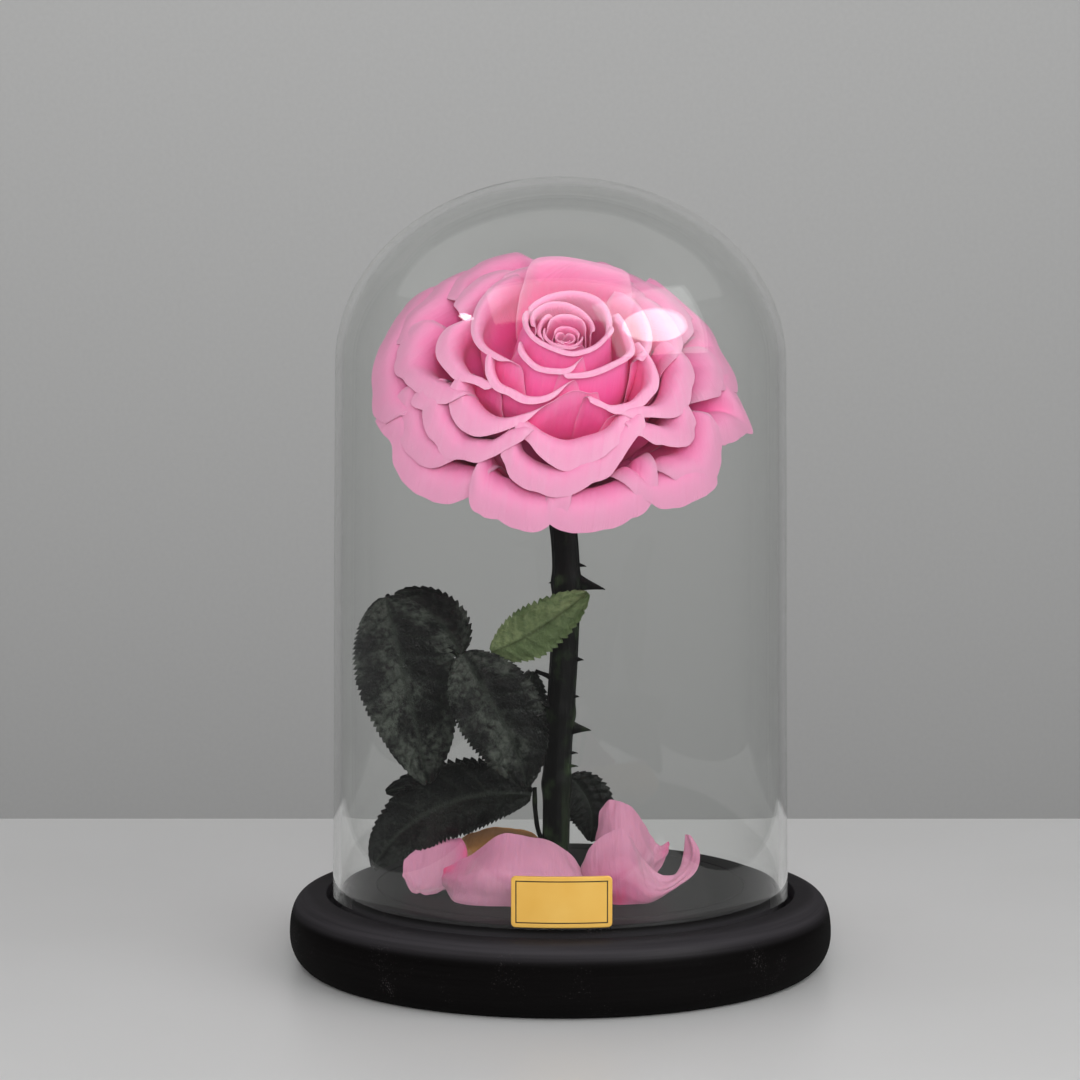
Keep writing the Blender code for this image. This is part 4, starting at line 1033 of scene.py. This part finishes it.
def plate_shape(width, height, radius):
    """The metal plate: rounded rectangles, each inset from the last, stacked from its back to its face and
    bent round the glass; inset is their distance from the plate's edge in mm."""
    insets = np.array([1.0] * 5 + [0.0, 0.0, 0.0, 0.12, 0.3, 0.6, 1.2, 1.5, 1.75, 2.0] + [2.4] * 5)
    depths = np.array([0.0] * 6 + [0.3, 0.75, 0.93, 1.0, 0.97] + [0.93] * 9)
    # The innermost rows shrink to the middle in proportion
    shares = np.array([0.0, 0.25, 0.5, 0.75, 1.0] + [1.0] * 11 + [0.75, 0.5, 0.25, 0.0])
    corners, rows = [], []
    for turn, (side, top) in enumerate([(1, 1), (-1, 1), (-1, -1), (1, -1)]):
        angle = np.radians(np.linspace(0, 90, 9)) + turn * math.pi / 2
        corners.append(np.stack([np.full(9, side), np.full(9, top), np.cos(angle), np.sin(angle)], -1))
    # Each corner's arc is followed by points on the straight edge to the next corner
    along = np.linspace(0, 1, 14)[1:-1, None]
    outline = np.concatenate([part for here, after in zip(corners, corners[1:] + corners[:1])
                              for part in (here, here[-1] * (1 - along) + after[0] * along)])
    for inset, depth, share in zip(insets, depths, shares):
        corner = max(PLATE_CORNER - inset, 0.05)
        half = np.array([width / 2 - inset - corner, height / 2 - inset - corner])
        flat = share * (outline[:, :2] * half + outline[:, 2:] * corner)
        turn = flat[:, 0] / radius
        rows.append(np.stack([(radius + depth) * np.sin(turn), -(radius + depth) * np.cos(turn),
                              PLATE_FOOT + height / 2 + flat[:, 1]], -1))
    rows = np.array(rows)
    shape = closed_rows(rows)
    columns = rows.shape[1]
    shape.values["inset"] = np.concatenate([np.repeat(insets[1:-1], columns), insets[[0, -1]]])
    return shape


def stem_shape(radius):
    """The stem: a ridged tube that swells at its nodes and widens into the receptacle, with its thorns
    as hooked flat cones and its leaf stalks as thin tubes."""
    way = list(STEM_WAY) + [tuple(HEAD_CENTRE + height * head_axes()[2]) for height, _ in RECEPTACLE]
    radii = [radius] * (len(STEM_WAY) - 1) + [radius - 0.3] + [size for _, size in RECEPTACLE]
    along = distances(way)
    at = np.linspace(0, along[-1], 170)
    line = through(along, way, at)
    size = np.interp(at, along, radii)
    swell = sum(NODE_SWELL * np.exp(-((line[:, 2] - height) / 3.5) ** 2) for height in STEM_NODES)
    angle = np.linspace(0, 2 * math.pi, 48, endpoint=False)
    ridges = 0.16 * ripples(31, 2.2 * np.cos(angle)[None, :] + 0.01 * at[:, None],
                            2.2 * np.sin(angle)[None, :])
    bark = (size + swell)[:, None] + ridges
    shape = [tube(line, bark, bark, 48, (0.0, 1.0, 0.0))]
    middle = np.array(STEM_WAY)
    s = np.linspace(0, 1, 22)
    for root_height, root, tip in THORNS:
        start = np.array([np.interp(root_height, middle[:, 2], column) for column in middle.T])
        tip = np.array(tip)
        outward = unit(tip - start)
        thorn_way = bezier([start + 2.0 * outward, start + 4.2 * outward, tip + (0, 0, 0.5), tip], s)
        taper = (1 - s) ** 1.7
        shape.append(tube(thorn_way, 0.12 + root * taper, 0.12 + 0.42 * root * taper, 16, (0.0, 0.0, 1.0)))
    for stalk in STALKS:
        along = distances(stalk)
        at = np.linspace(0, along[-1], 12 * len(stalk))
        size = 0.9 + 0.25 * np.exp(-at / 3.0) + 0.08 * ripples(len(stalk), at / 9.0)
        shape.append(tube(through(along, stalk, at), size, size, 14, (0.0, 1.0, 0.0)))
    return joined(shape)


class ROSEDOME_OT_base(bpy.types.Operator):
    """Turn the black base"""
    bl_idname = "rosedome.base"
    bl_label = "Turned base"

    def execute(self, context):
        settings = context.scene.rose_case
        shape = turned(base_profile(settings.base_radius / MM), BASE_SEGMENTS)
        add_piece("lacquered_base", shape, lacquered_wood(settings), ["wooden_base"], 40.0)
        return {"FINISHED"}


class ROSEDOME_OT_dome(bpy.types.Operator):
    """Blow the glass bell"""
    bl_idname = "rosedome.dome"
    bl_label = "Glass bell"

    def execute(self, context):
        settings = context.scene.rose_case
        profile = dome_profile(settings.glass_wall / MM)
        angle = np.linspace(0, 2 * math.pi, DOME_SEGMENTS, endpoint=False)[None, :]
        height = profile[:, 1, None]
        fade = eased(0, 30, profile[:, 0, None])
        around = 1.2 * np.cos(angle) + 0 * height, 1.2 * np.sin(angle)
        shape = turned(profile, DOME_SEGMENTS, GLASS_WOBBLE * fade * ripples(3, *around, height / 90))
        piece = add_piece("blown_glass_dome", shape, blown_glass(settings), ["glass_dome"], 60.0)
        # The thin glass dims no light that falls through it, so it casts no shadow
        piece.visible_shadow = False
        piece.visible_diffuse = False
        return {"FINISHED"}


class ROSEDOME_OT_plate(bpy.types.Operator):
    """Make the gold plate with its border line"""
    bl_idname = "rosedome.plate"
    bl_label = "Metal plate"

    def execute(self, context):
        settings = context.scene.rose_case
        shape = plate_shape(settings.plate_width / MM, settings.plate_height / MM, DOME_FOOT[0] + PLATE_GAP)
        add_piece("gold_plate", shape, gold_plate_metal(settings), ["name_plate"])
        return {"FINISHED"}


class ROSEDOME_OT_stem(bpy.types.Operator):
    """Grow the stem with its thorns and stalks"""
    bl_idname = "rosedome.stem"
    bl_label = "Stem"

    def execute(self, context):
        settings = context.scene.rose_foliage
        shape = stem_shape(settings.stem_radius / MM)
        add_piece("thorned_stem", shape, stem_skin(settings), ["stem"])
        return {"FINISHED"}


class ROSEDOME_OT_bloom(bpy.types.Operator):
    """Set the bloom's petals round its coiled heart"""
    bl_idname = "rosedome.bloom"
    bl_label = "Bloom"

    def execute(self, context):
        settings = context.scene.rose_bloom
        skin = petal_skin(settings)
        thickness = settings.petal_thickness / MM
        for number in sorted([*PETALS, *RIMS]):
            shape = petal(number, PETALS.get(number), RIMS.get(number), RISE.get(number, 0), thickness)
            add_piece("rose_petal_%02d" % number, shape, skin, ["petal_%02d" % number])
        coil = [petal(number, even, None, -lower, thickness, columns=60, rows=30)
                for number, (*even, lower) in enumerate(COIL, 60)]
        add_piece("coiled_heart", joined(coil), skin, ["bloom_heart"])
        return {"FINISHED"}


class ROSEDOME_OT_leaves(bpy.types.Operator):
    """Hang the toothed leaves"""
    bl_idname = "rosedome.leaves"
    bl_label = "Leaves"

    def execute(self, context):
        settings = context.scene.rose_foliage
        face, pale = leaf_blade(settings), leaf_blade(settings, pale=True)
        # Painted shade: the low leaves and the one by the stem hang in shade, so they get a copy of the
        # face with less of the painted grey sheen, which shows darker
        deep = leaf_blade(settings, sheen=0.08)
        for seed, (name, (midrib, direction, halves, fold, teeth)) in enumerate(LEAVES.items()):
            shape = leaf(seed, midrib, direction, halves, fold, teeth, settings.leaf_thickness / MM)
            skin, slot = deep if "low" in name or "stem" in name else face, "leaves"
            if name == "leaf_small":
                skin, slot = pale, "pale_leaf"
            add_piece("rose_" + name, shape, skin, [name])
        return {"FINISHED"}


class ROSEDOME_OT_fallen(bpy.types.Operator):
    """Lay the fallen petals on the plateau"""
    bl_idname = "rosedome.fallen"
    bl_label = "Fallen petals"

    def execute(self, context):
        settings = context.scene.rose_bloom
        fresh, dried = fallen_skin(settings), fallen_skin(settings, dried=True)
        for seed, (name, petal_form) in enumerate(FALLEN_PETALS.items()):
            shape = fallen_petal(40 + seed, *petal_form, settings.petal_thickness / MM)
            skin, slot = (dried, "dried_petal") if name == "fallen_petal_behind" else (fresh, "petals")
            add_piece("rose_" + name, shape, skin, [name])
        return {"FINISHED"}


def slab(name, low, high, material):
    """A block between two corners, as part of the stage."""
    mesh = bpy.data.meshes.new(name)
    corner = np.array([[x, y, z] for x in (0, 1) for y in (0, 1) for z in (0, 1)])
    places = np.array(low) + corner * (np.array(high) - np.array(low))
    mesh.from_pydata(places.tolist(), [], [(0, 1, 3, 2), (4, 6, 7, 5), (0, 4, 5, 1), (2, 3, 7, 6),
                                           (0, 2, 6, 4), (1, 5, 7, 3)])
    mesh.materials.append(material)
    item = bpy.data.objects.new(name, mesh)
    bpy.context.scene.collection.objects.link(item)


def soft_light(name, direction, distance, size, power, form, seen_by, target=DOME_MIDDLE):
    """A flat light at a distance from its target, turned to face it.

    It may light matt surfaces only (diffuse), show in glossy ones only (glossy) or do both.
    """
    lamp = bpy.data.lights.new(name, "AREA")
    lamp.shape, lamp.size, lamp.size_y = form, *size
    lamp.energy = power
    item = bpy.data.objects.new(name, lamp)
    bpy.context.scene.collection.objects.link(item)
    back = unit(np.array(direction, float))
    right = unit(np.cross((0.0, 0.02, 1.0), back))
    turn = np.identity(4)
    turn[:3] = np.stack([right, np.cross(back, right), back, np.array(target) + distance * back], 1)
    item.matrix_world = Matrix(turn.tolist())
    item.visible_camera = False
    item.visible_diffuse = seen_by != "glossy"
    item.visible_glossy = item.visible_transmission = seen_by != "diffuse"


class ROSEDOME_OT_stage(bpy.types.Operator):
    """Set the table, the backdrop, the soft lights and the camera"""
    bl_idname = "rosedome.stage"
    bl_label = "Table, light and camera"

    def execute(self, context):
        settings = context.scene.rose_stage
        table, tree, shader = new_material("painted_table_top", Roughness=0.38, IOR=1.45)
        place = node(tree, "TexCoord").outputs["Object"]
        smudge = node(tree, "TexNoise", {"Vector": place, "Scale": 9, "Detail": 3})
        colour = node(tree, "Mix", [smudge, settings.table_colour, linear("D1D1D0")], data_type="RGBA")
        connect(tree, shader, Base_Color=colour)
        slab("table", *TABLE, table)

        wall, tree, shader = new_material("plain_plaster_wall", Roughness=0.8)
        place = node(tree, "TexCoord").outputs["Object"]
        grain = node(tree, "TexNoise", {"Vector": place, "Scale": 220, "Detail": 3})
        # Painted shade: the wall's colour grows darker towards the floor
        height = node(tree, "SeparateXYZ", [place])
        painted_shade = node(tree, "MapRange", [height.outputs["Z"], -0.4, 0.55, 0.45, 0])
        plaster = node(tree, "Mix", [grain, settings.wall_colour, linear("CACAC9")], data_type="RGBA")
        colour = node(tree, "Mix", [painted_shade, plaster, linear("8A8A8A")], data_type="RGBA")
        connect(tree, shader, Base_Color=colour)
        slab("backdrop", *WALL, wall)

        for name, direction, distance, size, setting, share, form, seen_by, *target in LIGHTS:
            power = share * getattr(settings, setting)
            soft_light(name, direction, distance, size, power, form, seen_by, *target)

        world = bpy.data.worlds.new("dim_room")
        context.scene.world = world
        world.use_nodes = True
        tree = world.node_tree
        tree.nodes.clear()
        background = node(tree, "Background", {"Color": linear("FAFAFC"), "Strength": settings.room_light})
        node(tree, "OutputWorld", {"Surface": background})

        camera = bpy.data.cameras.new("camera")
        camera.lens, camera.sensor_width = LENS, SENSOR
        camera.clip_start, camera.clip_end = CLIP
        item = bpy.data.objects.new("camera", camera)
        item.location = [place * MM for place in CAMERA_PLACE]
        item.rotation_euler = (math.radians(90.0 - CAMERA_DIP), 0.0, 0.0)
        context.scene.collection.objects.link(item)
        context.scene.camera = item
        context.scene.view_settings.view_transform = "Standard"
        return {"FINISHED"}


class ROSEDOME_PT_panel(bpy.types.Panel):
    """The sizes, the colours and the pieces of the rose dome"""
    bl_label = "Rose dome"
    bl_idname = "ROSEDOME_PT_panel"
    bl_space_type = "VIEW_3D"
    bl_region_type = "UI"
    bl_category = "Rose dome"

    def draw(self, context):
        for group in SETTINGS:
            box = self.layout.box()
            for name in SETTINGS[group].__annotations__:
                box.prop(getattr(context.scene, group), name)
        for operator in OPERATORS:
            self.layout.operator(operator.bl_idname)


SETTINGS = {"rose_case": CaseSettings, "rose_bloom": BloomSettings, "rose_foliage": FoliageSettings,
            "rose_stage": StageSettings}
OPERATORS = [ROSEDOME_OT_base, ROSEDOME_OT_dome, ROSEDOME_OT_plate, ROSEDOME_OT_stem, ROSEDOME_OT_bloom,
             ROSEDOME_OT_leaves, ROSEDOME_OT_fallen, ROSEDOME_OT_stage]


def register():
    """Registers the settings, the operators and the panel."""
    for part in [*SETTINGS.values(), *OPERATORS, ROSEDOME_PT_panel]:
        bpy.utils.register_class(part)
    for name, group in SETTINGS.items():
        setattr(bpy.types.Scene, name, bpy.props.PointerProperty(type=group))


def unregister():
    """Takes them out again."""
    for name in SETTINGS:
        delattr(bpy.types.Scene, name)
    for part in [ROSEDOME_PT_panel, *OPERATORS, *SETTINGS.values()]:
        bpy.utils.unregister_class(part)


def main():
    """Makes every piece and the stage."""
    register()
    for operator in OPERATORS:
        getattr(bpy.ops.rosedome, operator.bl_idname.split(".")[1])()


if __name__ == "__main__":
    main()
